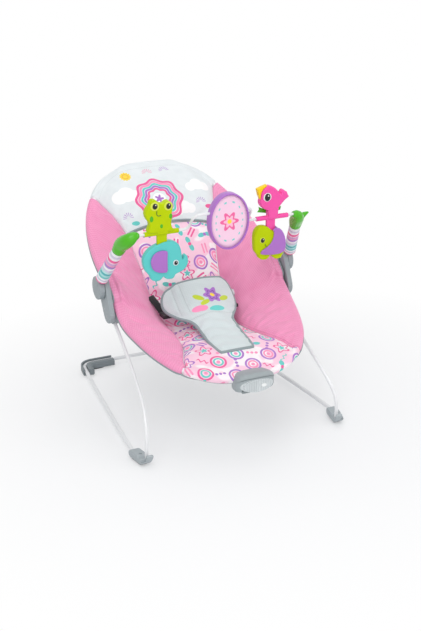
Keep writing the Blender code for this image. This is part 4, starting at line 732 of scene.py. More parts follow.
def pad_print():
    """The crotch pad's cloth: quilted lines and a small posy with two pebbles."""
    material, shader, place, x, v, _ = new_cloth("pad_cloth", PAD_GREY)
    drift = noise(place, 45.0)
    check = soft_check(x, v, TURN / 1500)
    colour = mixed((check * 0.3 + drift * 0.6).clamped(), PAD_GREY, PAD_GREY_SHADE)
    lines = stitches(x, v - PAD_WAIST)
    for line_x in PAD_STITCH_X:
        lines = lines.most(stitches(v, x - line_x) * v.over(PAD_STITCH_FROM, 0.002))
    colour = mixed(lines * 0.6, colour, srgb(160, 172, 174))
    for *centre, wide, tint in ((-0.02, 0.15, 0.018, MID_PINK), (0.016, 0.143, 0.017, TURQUOISE)):
        dx, dy, _, _ = around(x, v, centre)
        colour = mixed(length_of(dx * 0.45, dy).under(wide * 0.45), colour, tint)
    for *centre, turn in ((-0.012, 0.18, 2.6), (0.047, 0.176, 0.5), (-0.002, 0.165, 3.6)):
        dx, dy, _, _ = around(x, v, centre)
        main, side = turned(dx, dy, math.cos(turn), math.sin(turn))
        colour = mixed(length_of(main * 0.45, side).under(0.006), colour, LIME_INK)
    _, _, radius, angle = around(x, v, (0.022, 0.184))
    colour = coated(colour, (flower(radius, angle, 6, 0.0036, 0.0185).under(), LILAC),
                    (flower(radius, angle, 6, 0.002, 0.011).near(0.0, 0.0014), PURPLE_INK),
                    (radius.under(0.0054), BLOOM_YELLOW))
    dress(shader, colour, check * 0.7 + drift - lines * 3, 0.0003, 0.8)
    return material


def moulded(name, colour, roughness, grain=0.00003, coat=0.0, ribbed=False, shine=0.5):
    """Moulded plastic: a fine grain, slow changes of gloss and colour and, where asked, a ribbed oval whose
    ribs carry painted shade.
    """
    material, shader = new_material(name, colour, roughness, Coat_Weight=coat, Coat_Roughness=0.08,
                                    Specular_IOR_Level=shine)
    place = position(shader)
    fine = noise(place, 1800.0, 2.0)
    slow = noise(place, 22.0)
    tint = mixed(slow * 0.9, colour, darker(colour, 0.9))
    if ribbed:
        x, _, z = axes(place)
        rib = (x * (TURN / UNIT_RIB_PITCH)).sin()
        corners = NODES["vibration_housing"].bound_box
        low, high = corners[0], corners[6]
        beside = (x - (low[0] + high[0]) / 2) / UNIT_FACE_WIDE
        above = (z - (low[2] + (high[2] - low[2]) * UNIT_FACE_AT)) / UNIT_FACE_TALL
        inside = length_of(beside, above).under(1.0, 0.05)
        fine = fine + rib * inside * 8
        # painted shade: the colour darkens and lightens with each rib, as shade and light would fall on its
        # grooves and ridges
        tint = mixed(ranged(rib, 0.35, 0.85), tint, darker(colour, 0.84))
        tint = mixed(inside, UNIT_EDGE, tint)
    link(ranged(slow, roughness - 0.05, roughness + 0.07), shader.inputs["Roughness"])
    dress(shader, tint, fine, grain)
    return material


def coated_wire(name, colour, roughness):
    """Powder-coated steel: an orange-peel skin."""
    material, shader = new_material(name, colour, roughness, Coat_Weight=0.3, Coat_Roughness=0.15)
    place = position(shader)
    tint = mixed(noise(place, 15.0), colour, darker(colour, 0.93))
    dress(shader, tint, noise(place, 700.0, 1.0), 0.00005, 0.6)
    return material


def striped_knit():
    """Knitted sleeve: bands of colour along it, with ribs."""
    material, shader, place, u, v, _ = new_cloth("striped_knit", SLEEVE_STRIPES[0][1])
    ramp = shader.id_data.nodes.new("ShaderNodeValToRGB")
    ramp.color_ramp.interpolation = "CONSTANT"
    elements = ramp.color_ramp.elements
    while len(elements) < len(SLEEVE_STRIPES):
        elements.new(1.0)
    start = 0.0
    for element, (width, colour) in zip(elements, SLEEVE_STRIPES):
        element.position = start / SLEEVE_TOTAL
        element.color = colour
        start += width
    link(v, ramp.inputs[0])
    relief = basket_weave(u, v * 0.1, 0.0012) + noise(place, 400.0)
    dress(shader, ramp.outputs[0], relief, 0.0002, 0.6)
    return material


def disc_print(centre):
    """Pale pink plastic printed with one plain flower and a ring of dashes."""
    ground = srgb(246, 206, 228)
    material, shader = new_material("oval_face_print", ground, 0.3, Coat_Weight=0.2)
    x, _, z = axes(position(shader))
    x, z, radius, angle = around(x, z, (centre.x, centre.z))
    rim = length_of(x / 0.0345, z / 0.048)
    colour = coated(
        ground,
        (flower(radius, angle, 6, 0.0045, 0.0165).under(), HOT_PINK),
        (flower(radius, angle, 6, 0.0028, 0.0105).under(), srgb(255, 190, 215)),
        (radius.under(0.0048), srgb(253, 214, 60)),
        ((angle * 14).cos().over(0.55, 0.3) * rim.near(0.86, 0.035, 0.02), TURQUOISE),
    )
    link(colour, shader.inputs["Base Color"])
    return material


PINK = srgb(253, 172, 209)
PINK_SHADE = srgb(237, 134, 181)
PRINT_GROUND = srgb(255, 210, 230)
PRINT_LIGHT = srgb(255, 246, 250)
HOT_PINK = srgb(240, 96, 158)
MID_PINK = srgb(252, 150, 192)
LILAC = srgb(176, 118, 204)
PURPLE_INK = srgb(130, 80, 170)
TURQUOISE = srgb(104, 208, 202)
LIME_INK = srgb(196, 214, 50)
BLOOM_YELLOW = srgb(252, 220, 60)
PALE_GREY = srgb(240, 245, 247)
PALE_GREY_SHADE = srgb(224, 231, 234)
PAD_GREY = srgb(218, 226, 228)
PAD_GREY_SHADE = srgb(199, 210, 212)
HEAD_CLOUD = srgb(255, 255, 255)
UNIT_EDGE = srgb(158, 167, 170)
SLEEVE_STRIPES = (
    (3, srgb(240, 110, 165)), (4, srgb(244, 244, 248)), (4, srgb(206, 206, 222)), (5, srgb(246, 246, 250)),
    (6, srgb(120, 205, 203)), (5, srgb(176, 226, 226)), (6, srgb(88, 186, 190)), (6, srgb(196, 232, 232)),
    (6, srgb(214, 208, 230)), (6, srgb(246, 246, 250)), (7, srgb(176, 140, 206)), (3, srgb(250, 160, 198)),
    (7, srgb(214, 170, 214)), (3, srgb(252, 214, 230)), (7, srgb(244, 100, 160)), (6, srgb(250, 246, 250)),
    (7, srgb(216, 212, 230)), (8, srgb(248, 248, 250)),
)
SLEEVE_TOTAL = sum(width for width, _ in SLEEVE_STRIPES)

pink_cloth = woven("pink_wing_cloth", PINK, PINK_SHADE, 0.0046, 0.0005, 0.62, 0.4, seam=0.005)
grey_cloth = woven("backing_cloth", srgb(206, 210, 214), srgb(188, 192, 196), 0.0024)
binding_cloth = woven("binding_cloth", srgb(150, 163, 166), srgb(132, 146, 150), 0.0016)
loop_cloth = woven("loop_webbing", srgb(222, 226, 228), srgb(196, 202, 206), 0.002)
webbing = woven("black_webbing", srgb(34, 34, 37), srgb(18, 18, 20), 0.002, 0.0004)
pad_cloth = pad_print()
head_cloth = head_print()
print_cloth = sling_print()
knit = striped_knit()

grey_moulding = moulded("grey_moulding", srgb(156, 165, 169), 0.5)
foot_grey = moulded("foot_grey_moulding", srgb(172, 180, 184), 0.5)
dark_moulding = moulded("dark_grey_moulding", srgb(124, 132, 136), 0.5)
unit_moulding = moulded("unit_moulding", srgb(216, 222, 224), 0.45, ribbed=True)
unit_edge = moulded("unit_edge_moulding", UNIT_EDGE, 0.45)
black_moulding = moulded("black_moulding", srgb(26, 26, 28), 0.4)
button_moulding = moulded("button_moulding", srgb(244, 246, 246), 0.35)
rubber = moulded("foot_rubber", srgb(62, 66, 70), 0.75, 0.0001)
white_coat = coated_wire("white_coat", srgb(236, 237, 239), 0.35)
steel = coated_wire("plated_steel", srgb(170, 172, 176), 0.3)
leaf_green = moulded("leaf_green", srgb(76, 184, 16), 0.25, coat=0.25, shine=0.3)
lime = moulded("lime_moulding", srgb(190, 212, 0), 0.42, shine=0.12)
lime_pale = moulded("lime_pale_moulding", srgb(218, 228, 84), 0.3, coat=0.12, shine=0.25)
lime_dark = moulded("lime_dark", srgb(96, 128, 20), 0.35)
lilac = moulded("lilac_moulding", srgb(176, 114, 200), 0.3, coat=0.15, shine=0.3)
turquoise = moulded("turquoise_moulding", srgb(94, 208, 204), 0.3, coat=0.12, shine=0.3)
bird_pink = moulded("bird_pink", srgb(248, 84, 170), 0.3, coat=0.12, shine=0.3)
beak_yellow = moulded("beak_yellow", srgb(255, 214, 0), 0.3, coat=0.12, shine=0.3)
eye_black = moulded("eye_black", srgb(10, 10, 12), 0.4)
eye_white = moulded("eye_white", srgb(240, 242, 234), 0.3, coat=0.2)
eye_grey = moulded("eye_grey", srgb(214, 226, 226), 0.3, coat=0.2)


# Seat cover

def rim_roll(edge, normal):
    """The cloth's way round the rim, square over the hub block, and how clear it is of the hub."""
    middle = edge + normal * (PANEL_INSET - TUBE_INSET)
    tangent = Vector((-normal.y, normal.x))
    step = 0.004
    ahead, behind = middle + tangent * step, middle - tangent * step
    slope = (seat_height(ahead.x, ahead.y) - seat_height(behind.x, behind.y)) / (2 * step)
    along = Vector((tangent.x, tangent.y, slope)).normalized()
    centre, out = above_seat(middle), Vector((normal.x, normal.y, 0.0))
    up = out.cross(along)
    if up.z < 0:
        up.negate()
    up.normalize()
    clear = smooth_step(HUB_FREE, HUB_FULL, abs(edge.y - HUB_Y)) if abs(normal.x) > 0.6 else 1.0
    reach_out = HUB_COVER_OUT + (ROLL_RADIUS - HUB_COVER_OUT) * clear
    reach_up = HUB_COVER_UP + (ROLL_RADIUS - HUB_COVER_UP) * clear
    square = 0.55 + 0.45 * clear

    def place(turn, proud=0.0):
        beside, above = (math.copysign(abs(t) ** square, t) for t in (math.cos(turn), math.sin(turn)))
        return centre + out * ((reach_out + proud) * beside) + up * ((reach_up + proud) * above)

    return place, clear


def fold_height(along, share):
    """Soft folds that run from the seam to the rim and wander a little on the way."""
    drift = 0.9 * math.sin(share * 4.0 + along * 31.0)
    wave = 0.62 * math.sin(TURN * along / FOLD_PITCH + drift)
    wave += 0.38 * math.sin(TURN * along / (FOLD_PITCH * 0.63) - 2 * drift)
    patches = 0.65 + 0.35 * math.sin(TURN * along / 0.13 + 0.8)
    ends = (1 - math.exp(-share / 0.05)) * (1 - math.exp(-(1 - share) / 0.07))
    return FOLD_HEIGHT * wave * patches * ends * (0.72 + 0.28 * math.cos(TURN * share))


def buckle_room(point):
    """0 beside a buckle, where its tongue slides out over the wing, rising to 1 well clear of it."""
    away = math.hypot(abs(point.x) - BUCKLE_ROOM_X, (point.y - BUCKLE_ROOM_Y) * 0.6)
    return 1 - math.exp(-(away / BUCKLE_ROOM) ** 2)


def cover_section(line, normal, end_distance, along, folds):
    """One closed slice through a padded panel: top, roll round the tube and underside."""
    run = run_lengths(line)
    place, clear = rim_roll(line[-1], normal)
    top = []
    for point, distance in zip(line, run):
        seam = math.exp(-min(distance, end_distance) / SEAM_SOFT)
        from_rim = run[-1] - distance
        fold = folds * fold_height(along, distance / run[-1]) * (1 - math.exp(-end_distance / 0.01))
        rise = PAD_TOP * (1 - seam) - SEAM_DROP * seam
        rise += RIM_RISE * math.exp(-from_rim / 0.014)
        rise += fold * buckle_room(point)
        rise += (1 - clear) * HUB_LIFT * math.exp(-(from_rim / 0.017) ** 2)
        top.append(above_seat(point, rise))
    under = [above_seat(point, -PAD_UNDER) for point in line[::-1]]
    first, last = math.radians(125 - 25 * clear), -math.radians(10 + 135 * clear)
    roll = [place(first + (last - first) * k / (ROLL_POINTS - 1)) for k in range(ROLL_POINTS)]
    return top + roll + under


def cover_panel(name, lines, normals, material, mirror=False, growth=0.035, folds=0.3, laid_out=False):
    """A closed padded panel from its section lines, each from the seam to the rim."""
    count, tops = len(lines), len(lines[0])
    across = run_lengths([line[len(line) // 2] for line in lines])
    sections = []
    for line, normal, along in zip(lines, normals, across):
        sections.append(cover_section(line, normal, min(along, across[-1] - along), along, folds))
    size = len(sections[0])
    points = [p for section in sections for p in section]
    vertices = [placed(p) for p in points]
    faces = quads(count, size)
    for start, way in ((0, -1), ((count - 1) * size, 1)):
        end = start + size - 1
        caps = [(start + i, start + i + 1, end - 1 - i, end - i) for i in range(tops - 1)]
        caps.append(tuple(range(start + tops - 1, end - tops + 2)))
        faces += [cap[::way] for cap in caps]
    flat = []
    for section, normal, along in zip(sections, normals, across):
        runs = run_lengths(section)
        for i, run in enumerate(runs):
            u, v = along, run
            if laid_out:
                last = section[min(i, tops - 1)]
                beyond = max(run - runs[tops - 1], 0.0)
                u, v = last.x + normal.x * beyond, along_sling(last.y) + normal.y * beyond
            flat.append((u, v, runs[tops - 1] - run))
    if mirror:
        vertices = [Vector((-v.x, v.y, v.z)) for v in vertices]
        faces = [face[::-1] for face in faces]
    obj = mesh_object(name, vertices, faces)
    keep_flat(obj, flat)
    outward(obj)
    obj.data.materials.append(material)
    obj.data.materials.append(grey_cloth)
    for k in range(count - 1):
        for i in range(tops + ROLL_POINTS - 2, size):
            obj.data.polygons[k * size + i].material_index = 1
    pinned = [k * size + i for k in range(count) for i in range(size)
              if not (0 < i < tops - 1 and 0 < k < count - 1)]
    calm = [(1 - math.exp(-abs(spot[2]) / RIM_CALM)) * buckle_room(p) for spot, p in zip(flat, points)]
    puff(obj, pinned, growth, calm=calm)
    return obj


def puff(obj, pinned, growth, cap=CLOTH_CAP, calm=None):
    """Lets the cloth swell and wrinkle between its seams by simulation, and keeps the result."""
    group = obj.vertex_groups.new(name="pinned")
    group.add(pinned, 1.0, "REPLACE")
    cloth = obj.modifiers.new("cloth", "CLOTH")
    settings = cloth.settings
    settings.quality = 6
    settings.mass = 0.15
    settings.tension_stiffness = 12
    settings.compression_stiffness = 12
    settings.shear_stiffness = 4
    settings.bending_stiffness = 0.35
    settings.air_damping = 2.0
    settings.use_pressure = True
    settings.uniform_pressure_force = 5.0
    settings.shrink_min = -growth
    settings.vertex_group_mass = "pinned"
    settings.effector_weights.gravity = 0.0
    cloth.collision_settings.use_collision = False
    cloth.collision_settings.use_self_collision = False
    cloth.point_cache.frame_start = 1
    cloth.point_cache.frame_end = CLOTH_FRAMES
    for number in range(1, CLOTH_FRAMES + 1):
        SCENE.frame_set(number)
    shape = obj.evaluated_get(bpy.context.evaluated_depsgraph_get()).to_mesh()
    swollen = np.zeros(len(shape.vertices) * 3)
    shape.vertices.foreach_get("co", swollen)
    rest = np.zeros_like(swollen)
    obj.data.vertices.foreach_get("co", rest)
    move = (swollen - rest).reshape(-1, 3)
    length = np.linalg.norm(move, axis=1, keepdims=True)
    limited = cap * np.tanh(length / cap)
    move *= limited / np.maximum(length, 1e-9)
    if calm:
        move *= np.array(calm)[:, None]
    obj.modifiers.clear()
    obj.vertex_groups.clear()
    obj.data.vertices.foreach_set("co", (rest.reshape(-1, 3) + move).ravel())
    obj.data.update()
    SCENE.frame_set(1)
    finer = obj.modifiers.new("finer", "SUBSURF")
    finer.levels = finer.render_levels = 1


def seat_cover():
    """The printed sling, the head insert, the two wings and the piping between and round them."""
    half = half_outline(PANEL_INSET)
    seam = crease_line(half)
    sling_side = offset_line(seam, -HALF_SEAM)
    corner = sling_side[-1]
    front_arc = part_of(half, SEAT_FRONT, seam[0].y)
    front_arc[-1] = sling_side[0].copy()
    front = even(mirrored(front_arc)[::-1] + front_arc[1:], SLING_SECTIONS)

    def bow(count, lift):
        spread = [2 * i / (count - 1) - 1 for i in range(count)]
        return [Vector((corner.x * s, corner.y + PIPING_BOW * (1 - s * s) + lift)) for s in spread]

    piping = bow(SLING_SECTIONS, -HALF_SEAM)
    side = smooth_curve(sling_side[:-1] + [piping[-1]], SLING_POINTS)
    lines = [line[::-1] for line in patch_lines(front, piping, mirrored(side), side)]
    centre = cover_panel("sling_cover", lines, sideways(front), print_cloth, growth=0.025, laid_out=True)
    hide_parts("centre_panel", "lower_hem")

    inner = offset_line([seam[0].lerp(seam[1], 0.05)] + seam[1:], HALF_SEAM)
    inner = smooth_curve(inner, WING_SECTIONS)
    outer = even(part_of(half, inner[0].y, HEAD_SEAM_OUTER_Y), WING_SECTIONS)
    lines = [[a.lerp(b, i / (WING_POINTS - 1)) for i in range(WING_POINTS)] for a, b in zip(inner, outer)]
    wings = []
    for word, mirror in (("right", False), ("left", True)):
        wing = cover_panel(f"wing_cover_{word}", lines, sideways(outer), pink_cloth, mirror, folds=1.0)
        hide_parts(f"wing_{word}")
        wings.append(wing)

    bottom = bow(HEAD_SECTIONS, HALF_SEAM)
    arc = part_of(half, HEAD_SEAM_OUTER_Y, SEAT_BACK)
    arc[0] = arc[0] + Vector((0, 2 * HALF_SEAM))
    top = even((arc + mirrored(arc[:-1])[::-1])[::-1], HEAD_SECTIONS)
    right = even([bottom[-1], top[-1]], HEAD_POINTS)
    lines = patch_lines(bottom, top, mirrored(right), right)
    head = cover_panel("head_cover", lines, sideways(top, -1.0), head_cloth, growth=0.02)
    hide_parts("head_insert", "upper_hem")
    for piece, slot in ((centre, "print_fabric"), (head, "grey_fabric"), (wings[0], "pink_fabric"),
                        (wings[1], "pink_fabric")):
        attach(piece, "seat")
    points = [placed(above_seat(p, 0.0005)) for p in bow(60, 0.0)]
    carry(tube_mesh("head_seam_piping", points, 0.0022), "seat", binding_cloth)
    rim_piping(half)


def rim_piping(half):
    """Grey piping all round the cover's outer edge, lifted over the hubs."""
    loop = smooth_curve(half[:-1] + mirrored(half[1:])[::-1], 360, closed=True)
    points = []
    for point, normal in zip(loop, sideways(loop, closed=True)):
        place, clear = rim_roll(point, normal)
        front = 1 - smooth_step(FRONT_SEAM_Y - 0.02, FRONT_SEAM_Y + 0.004, point.y)
        points.append(placed(place(math.radians(48 - 88 * clear - 62 * front), 0.0006)))
    piping = tube_mesh("rim_piping", points, 0.0018, sides=8, closed=True)
    carry(piping, "seat", binding_cloth)


# Harness

pad_line = [Vector(p) for p in PAD_LINE]
pad_run = run_lengths(pad_line)
PAD_LENGTH = pad_run[-1]
pad_y = profile(zip(pad_run, (p.x for p in pad_line)))
pad_z = profile(zip(pad_run, (p.y for p in pad_line)))
pad_left = profile(zip(pad_run, PAD_LEFT))
pad_right = profile(zip(pad_run, PAD_RIGHT))
pad_droop = profile(zip(pad_run, PAD_DROOPS))


def pad_x(station, s):
    left, right = pad_left(station), pad_right(station)
    return (right - left) / 2 + (right + left) / 2 * s


def pad_point(station, s, side=1, lift=0.0):
    """A point of the pad: s runs from -1 to 1 across, side is +1 on top and -1 below."""
    a, b = (clamp(station + step, 0, PAD_LENGTH) for step in (-0.002, 0.002))
    along = Vector((pad_y(b) - pad_y(a), pad_z(b) - pad_z(a))).normalized()
    normal = Vector((-along.y, along.x))
    drop = pad_droop(station) * s * s
    place_yz = Vector((pad_y(station), pad_z(station))) + normal * (side * lift - drop)
    return placed((pad_x(station, s), place_yz.x, place_yz.y))


def crotch_pad():
    """The quilted T-shaped pad with its sewn binding and a loop of webbing at its right ear."""
    rows, columns = 64, 60
    layer = rows * columns
    vertices, flat = [], []
    for side in (1, -1):
        for j in range(rows):
            station = PAD_LENGTH * j / (rows - 1)
            near_end = min(station, PAD_LENGTH - station)
            half = (pad_left(station) + pad_right(station)) / 2
            for i in range(columns):
                s = 2 * i / (columns - 1) - 1
                edge = min((1 - abs(s)) * half, near_end)
                s *= 1 - 0.06 * math.exp(-near_end / 0.006)
                x = pad_x(station, s)
                plump = 1 - math.exp(-edge / 0.005)
                lift = PAD_EDGE_HALF_THICK + (PAD_HALF_THICK - PAD_EDGE_HALF_THICK) * plump
                if side > 0:
                    sewn = max(math.exp(-((x - line) / 0.003) ** 2) for line in PAD_STITCH_X)
                    sewn *= smooth_step(PAD_STITCH_FROM - 0.01, PAD_STITCH_FROM + 0.004, station)
                    sewn = max(sewn, math.exp(-((station - PAD_WAIST) / 0.0035) ** 2))
                    lift -= 0.0016 * sewn * plump
                    ripple = math.sin(station * 210 + 1.4 * math.sin(x * 60))
                    lift += 0.0007 * ripple * (1 - math.exp(-edge / 0.012))
                vertices.append(pad_point(station, s, side, lift))
                flat.append((x, station, 0.0))
    faces = []
    for j in range(rows - 1):
        for a in range(j * columns, (j + 1) * columns - 1):
            quad = (a, a + 1, a + 1 + columns, a + columns)
            faces += [quad, tuple(v + layer for v in quad[::-1])]
    rim = [*range(columns - 1), *range(columns - 1, layer - 1, columns),
           *range(layer - 1, layer - columns, -1), *range(layer - columns, 0, -columns)]
    for a, b in zip(rim, rim[1:] + rim[:1]):
        faces.append((a, a + layer, b + layer, b))
    pad = mesh_object("crotch_pad_cover", vertices, faces)
    keep_flat(pad, flat)
    outward(pad)
    puff(pad, [*rim, *range(layer, 2 * layer)], 0.03, PAD_CAP)
    carry(pad, "seat", pad_cloth)
    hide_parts("crotch_pad")
    route = smooth_curve([0.5 * (vertices[i] + vertices[i + layer]) for i in rim], 200, closed=True)
    binding = tube_mesh("pad_binding", route, PAD_BINDING, sides=12, closed=True)
    carry(binding, "seat", binding_cloth)
    inner, outer = (pad_point(PAD_LOOP_STATION, s) for s in (0.9, 1.0))
    way = (outer - inner).normalized()
    tangent = (pad_point(PAD_LOOP_STATION + 0.01, 1.0) - outer).normalized()
    lift = tangent.cross(way).normalized() * 0.0022
    turns = [outer + way * reach + lift * side
             for reach, side in ((-0.003, 1), (0.006, 1), (0.0088, 0), (0.006, -1), (-0.003, -1))]
    turns = smooth_curve(turns, 20)
    loop = tube_mesh("pad_loop", turns, 0.0007, sides=8, flat=9.0, frames=path_frames(turns, tangent))
    carry(loop, "seat", loop_cloth)


def straps():
    """Webbing from each buckle to the seat."""
    wide, thick = STRAP_WIDTH / 2, STRAP_THICKNESS / 2
    edge = wide - thick
    section = [(-edge, -thick), (0.0, -thick), (edge, -thick), (wide, 0.0),
               (edge, thick), (0.0, thick), (-edge, thick), (-wide, 0.0)]
    for word, route in STRAP_ROUTES.items():
        points = smooth_curve([placed(p) for p in route], 24)
        frames = path_frames(points, Vector((1, 0, 0)))
        vertices, flat = [], []
        for point, (across, up), run in zip(points, frames, run_lengths(points)):
            for a, b in section:
                vertices.append(point + across * a + up * b)
                flat.append((a, run, 0.0))
        faces = quads(len(points), len(section)) + end_caps(len(section), len(vertices))
        strap = mesh_object(f"webbing_{word}", vertices, faces)
        keep_flat(strap, flat)
        outward(strap)
        strap.data.materials.append(webbing)
        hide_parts(f"harness_strap_{word}")
        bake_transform(strap)


# Toy bar

def bar_point(x, q, lean_deg=BAR_LEAN_DEG):
    lean = math.radians(lean_deg)
    return placed((x, HUB_TOP[0] + q * math.cos(lean), HUB_TOP[1] + q * math.sin(lean)))


def arm_ends(side):
    """The foot and the top of an arm and the direction between them; side is -1 for the left arm."""
    foot = bar_point(side * ARM_FOOT_X, ARM_FOOT_Q, ARM_LEAN_DEG)
    top = bar_point(side * ARM_TOP_X, ARM_TOP_Q, ARM_LEAN_DEG)
    return foot, top, (top - foot).normalized()


def sleeves():
    """Striped knitted sleeves over the arm rods, slightly bunched into rings."""
    rings, sides = 6, 28
    for side, word in ((-1, "left"), (1, "right")):
        foot, end, axis = arm_ends(side)
        base = foot + axis * (SLEEVE_START_Q - ARM_FOOT_Q)
        start, stations = 0.0, []
        for width, _ in SLEEVE_STRIPES:
            for k in range(rings):
                stations.append(((start + width * k / rings) / SLEEVE_TOTAL, math.sin(math.pi * k / rings)))
            start += width
        stations.append((1.0, 0.0))
        points = [base.lerp(end, t) for t, _ in stations]
        radii = [SLEEVE_BASE_RADIUS + (SLEEVE_TOP_RADIUS - SLEEVE_BASE_RADIUS) * t - 0.0006 + 0.0009 * bulge
                 for t, bulge in stations]
        sleeve = tube_mesh(f"striped_sleeve_{word}", points, radii, sides=sides)
        keep_flat(sleeve, [(0.0013 * k * sides, t, 0.0) for t, _ in stations for k in range(sides)])
        carry(sleeve, "toy_bar", knit)
        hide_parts(f"arm_sleeve_{word}")


def left_bud():
    """The left arm's cap: a fat smooth bud from the sleeve round to the toy wire."""
    _, ring, axis = arm_ends(-1)
    route = [ring + axis * reach for reach in (0.0003, 0.01, 0.022)]
    route += [bar_point(-x, q) for x, q in ((ARM_TOP_X - 0.01, 0.17), (ARM_TOP_X - 0.021, 0.1812),
                                            (ARM_TOP_X - 0.0295, TOY_BAR_Q))]
    route = smooth_curve(route, 26)
    swell = profile(BUD_SWELL)
    radii = [BUD_RADIUS * swell(k / 25) for k in range(26)]
    bud = tube_mesh("leaf_bud", route, radii, sides=28, frames=path_frames(route, Vector((1, 0, 0))))
    carry(bud, "toy_bar", leaf_green)
    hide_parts("arm_cap_left")


def softened(node, voxel, rounds):
    """Rounds a moulded toy's edges: remesh and smooth modifiers on the CAD node."""
    obj = NODES[node]
    remesh = obj.modifiers.new("remesh", "REMESH")
    remesh.mode = "VOXEL"
    remesh.voxel_size = voxel
    remesh.use_smooth_shade = True
    smooth = obj.modifiers.new("smooth", "SMOOTH")
    smooth.factor = 0.5
    smooth.iterations = rounds


def dome(name, centre, radius_x, radius_z, height, body, material, facing):
    """A low oval dome on a toy's front or back face."""
    rings, sides = 8, 28
    vertices = [centre + Vector((0, facing * height, 0))]
    for j in range(1, rings + 1):
        turn = math.pi / 2 * j / rings
        for x, z in oval(radius_x * math.sin(turn), radius_z * math.sin(turn), sides):
            vertices.append(centre + Vector((x, facing * height * math.cos(turn), z)))
    faces = [(0, 1 + k, 1 + (k + 1) % sides) for k in range(sides)] + quads(rings, sides, first=1)
    faces.append(tuple(range(len(vertices) - sides, len(vertices))))
    obj = mesh_object(name, vertices, faces)
    outward(obj)
    carry(obj, body, material)


# Where each toy hangs along the wire, how thick it is and its body
TOYS = {
    "frog": (-TOY_X, TOY_THICKNESS, "left_toy"),
    "elephant": (-TOY_X, LOWER_TOY_THICKNESS, "left_toy"),
    "bird": (TOY_X, TOY_THICKNESS, "right_toy"),
    "turtle": (TOY_X, LOWER_TOY_THICKNESS, "right_toy"),
}


def both_faces(name, places, proud=0.0):
    """Name, facing, points and body on each face of the toy that the name begins with."""
    x, thickness, body = TOYS[name.split("_")[0]]
    wire = bar_point(0, TOY_BAR_Q)
    for facing, word in ((-1, "front"), (1, "back")):
        y = wire.y + facing * (thickness + proud) / 2
        yield f"{name}_{word}", facing, [Vector((x + px, y, wire.z + pz)) for px, pz in places], body


def eye(name, place, ring, pupil, ring_material, tall=1.1):
    """A ring, a black pupil and a small white dot on the pupil that is a painted highlight."""
    for word, facing, (centre,), body in both_faces(name, [place]):
        dome(f"{word}_ring", centre, ring, ring, 0.0012, body, ring_material, facing)
        centre = centre + Vector((0, facing * 0.0006, 0))
        dome(f"{word}_pupil", centre, pupil, pupil * tall, 0.0013, body, eye_black, facing)
        # painted highlight: a small white dome on the pupil stands in for a glint of light
        shine = centre + Vector((pupil * 0.25, facing * 0.0011, pupil * 0.45))
        dome(f"{word}_shine", shine, pupil * 0.22, pupil * 0.22, 0.0004, body, eye_white, facing)


def smile(name, places, radius):
    """A thin moulded line."""
    for word, _, points, body in both_faces(name, places, 0.0004):
        carry(tube_mesh(word, smooth_curve(points, 14), radius, sides=8), body, lime_dark)


def toy_details():
    for node in ("frog_toy", "elephant_toy", "bird_toy", "turtle_toy"):
        softened(node, 0.0011, 6)
    for node in ("elephant_ear", "turtle_shell", "bird_beak"):
        softened(node, 0.0008, 5)
    left_bud()
    softened("arm_cap_right", 0.0011, 14)
    eye("frog_eye_left", (-0.016, 0.0585), 0.0092, 0.0057, lime_pale)
    eye("frog_eye_right", (0.013, 0.056), 0.0092, 0.0057, lime_pale)
    for name, place, wide, tall in (("frog_spot_side", (-0.0235, 0.033), 0.004, 0.0062),
                                    ("frog_spot_chest", (-0.0025, 0.016), 0.003, 0.0045),
                                    ("frog_spot_cheek", (0.0175, 0.0345), 0.0036, 0.0052)):
        for word, facing, (centre,), body in both_faces(name, [place]):
            dome(word, centre, wide, tall, 0.0005, body, leaf_green, facing)
    smile("frog_smile", ((-0.012, 0.0485), (-0.0125, 0.042), (-0.009, 0.038), (-0.0035, 0.0388)), 0.0009)
    eye("elephant_eye", (0.0279, -0.0658), 0.0062, 0.0041, eye_grey)
    eye("bird_eye", (-0.0154, 0.0465), 0.0092, 0.0068, eye_white, tall=1.2)
    eye("turtle_eye", (-0.0244, -0.0458), 0.0064, 0.0047, lime_pale)
    smile("turtle_smile", ((-0.0183, -0.0544), (-0.0178, -0.058), (-0.0156, -0.0603)), 0.0008)


def disc():
    """The oval toy: a rounded lilac rim and a pale face with a simple flower."""
    centre = bar_point(DISC_X, HUMP_Q) + Vector((0, 0, -DISC_DROP))
    half, count, rings = DISC_HALF_THICKNESS, 96, 6

    def loop(half_width, half_height, depth):
        return [centre + Vector((x, -depth, z)) for x, z in oval(half_width, half_height, count)]

    section = [(-DISC_RIM, half - 0.0035), (-DISC_RIM, half - 0.001), (-DISC_RIM + 0.001, half),
               (-0.002, half), (-0.0006, half - 0.0006), (0.0, half - 0.002)]
    section += [(grow, -depth) for grow, depth in section[::-1]]
    vertices = []
    for grow, depth in section:
        vertices += loop(DISC_HALF_WIDTH + grow, DISC_HALF_HEIGHT + grow, depth)
    rim = mesh_object("oval_rim", vertices, quads(len(section), count, closed=True))
    carry(rim, "disc", lilac)
    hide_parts("disc_rim")

    vertices = []
    wide, tall = DISC_HALF_WIDTH - DISC_RIM, DISC_HALF_HEIGHT - DISC_RIM
    for side in (1, -1):
        for j in range(rings + 1):
            share = 1 - j / rings
            vertices += loop(wide * share, tall * share, side * (half - 0.0028 - 0.0008 * share**2))
    other = (rings + 1) * count
    faces = quads(rings + 1, count) + [quad[::-1] for quad in quads(rings + 1, count, first=other)]
    for k in range(count):
        n = (k + 1) % count
        faces.append((k, other + k, other + n, n))
    face = mesh_object("oval_face", vertices, faces)
    outward(face, merge=1e-6)
    carry(face, "disc", disc_print(centre))
    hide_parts("disc_face")


# CAD nodes that stay, with better finishes

def pairs(*words):
    return [f"{word}_{side}" for word in words for side in ("left", "right")]


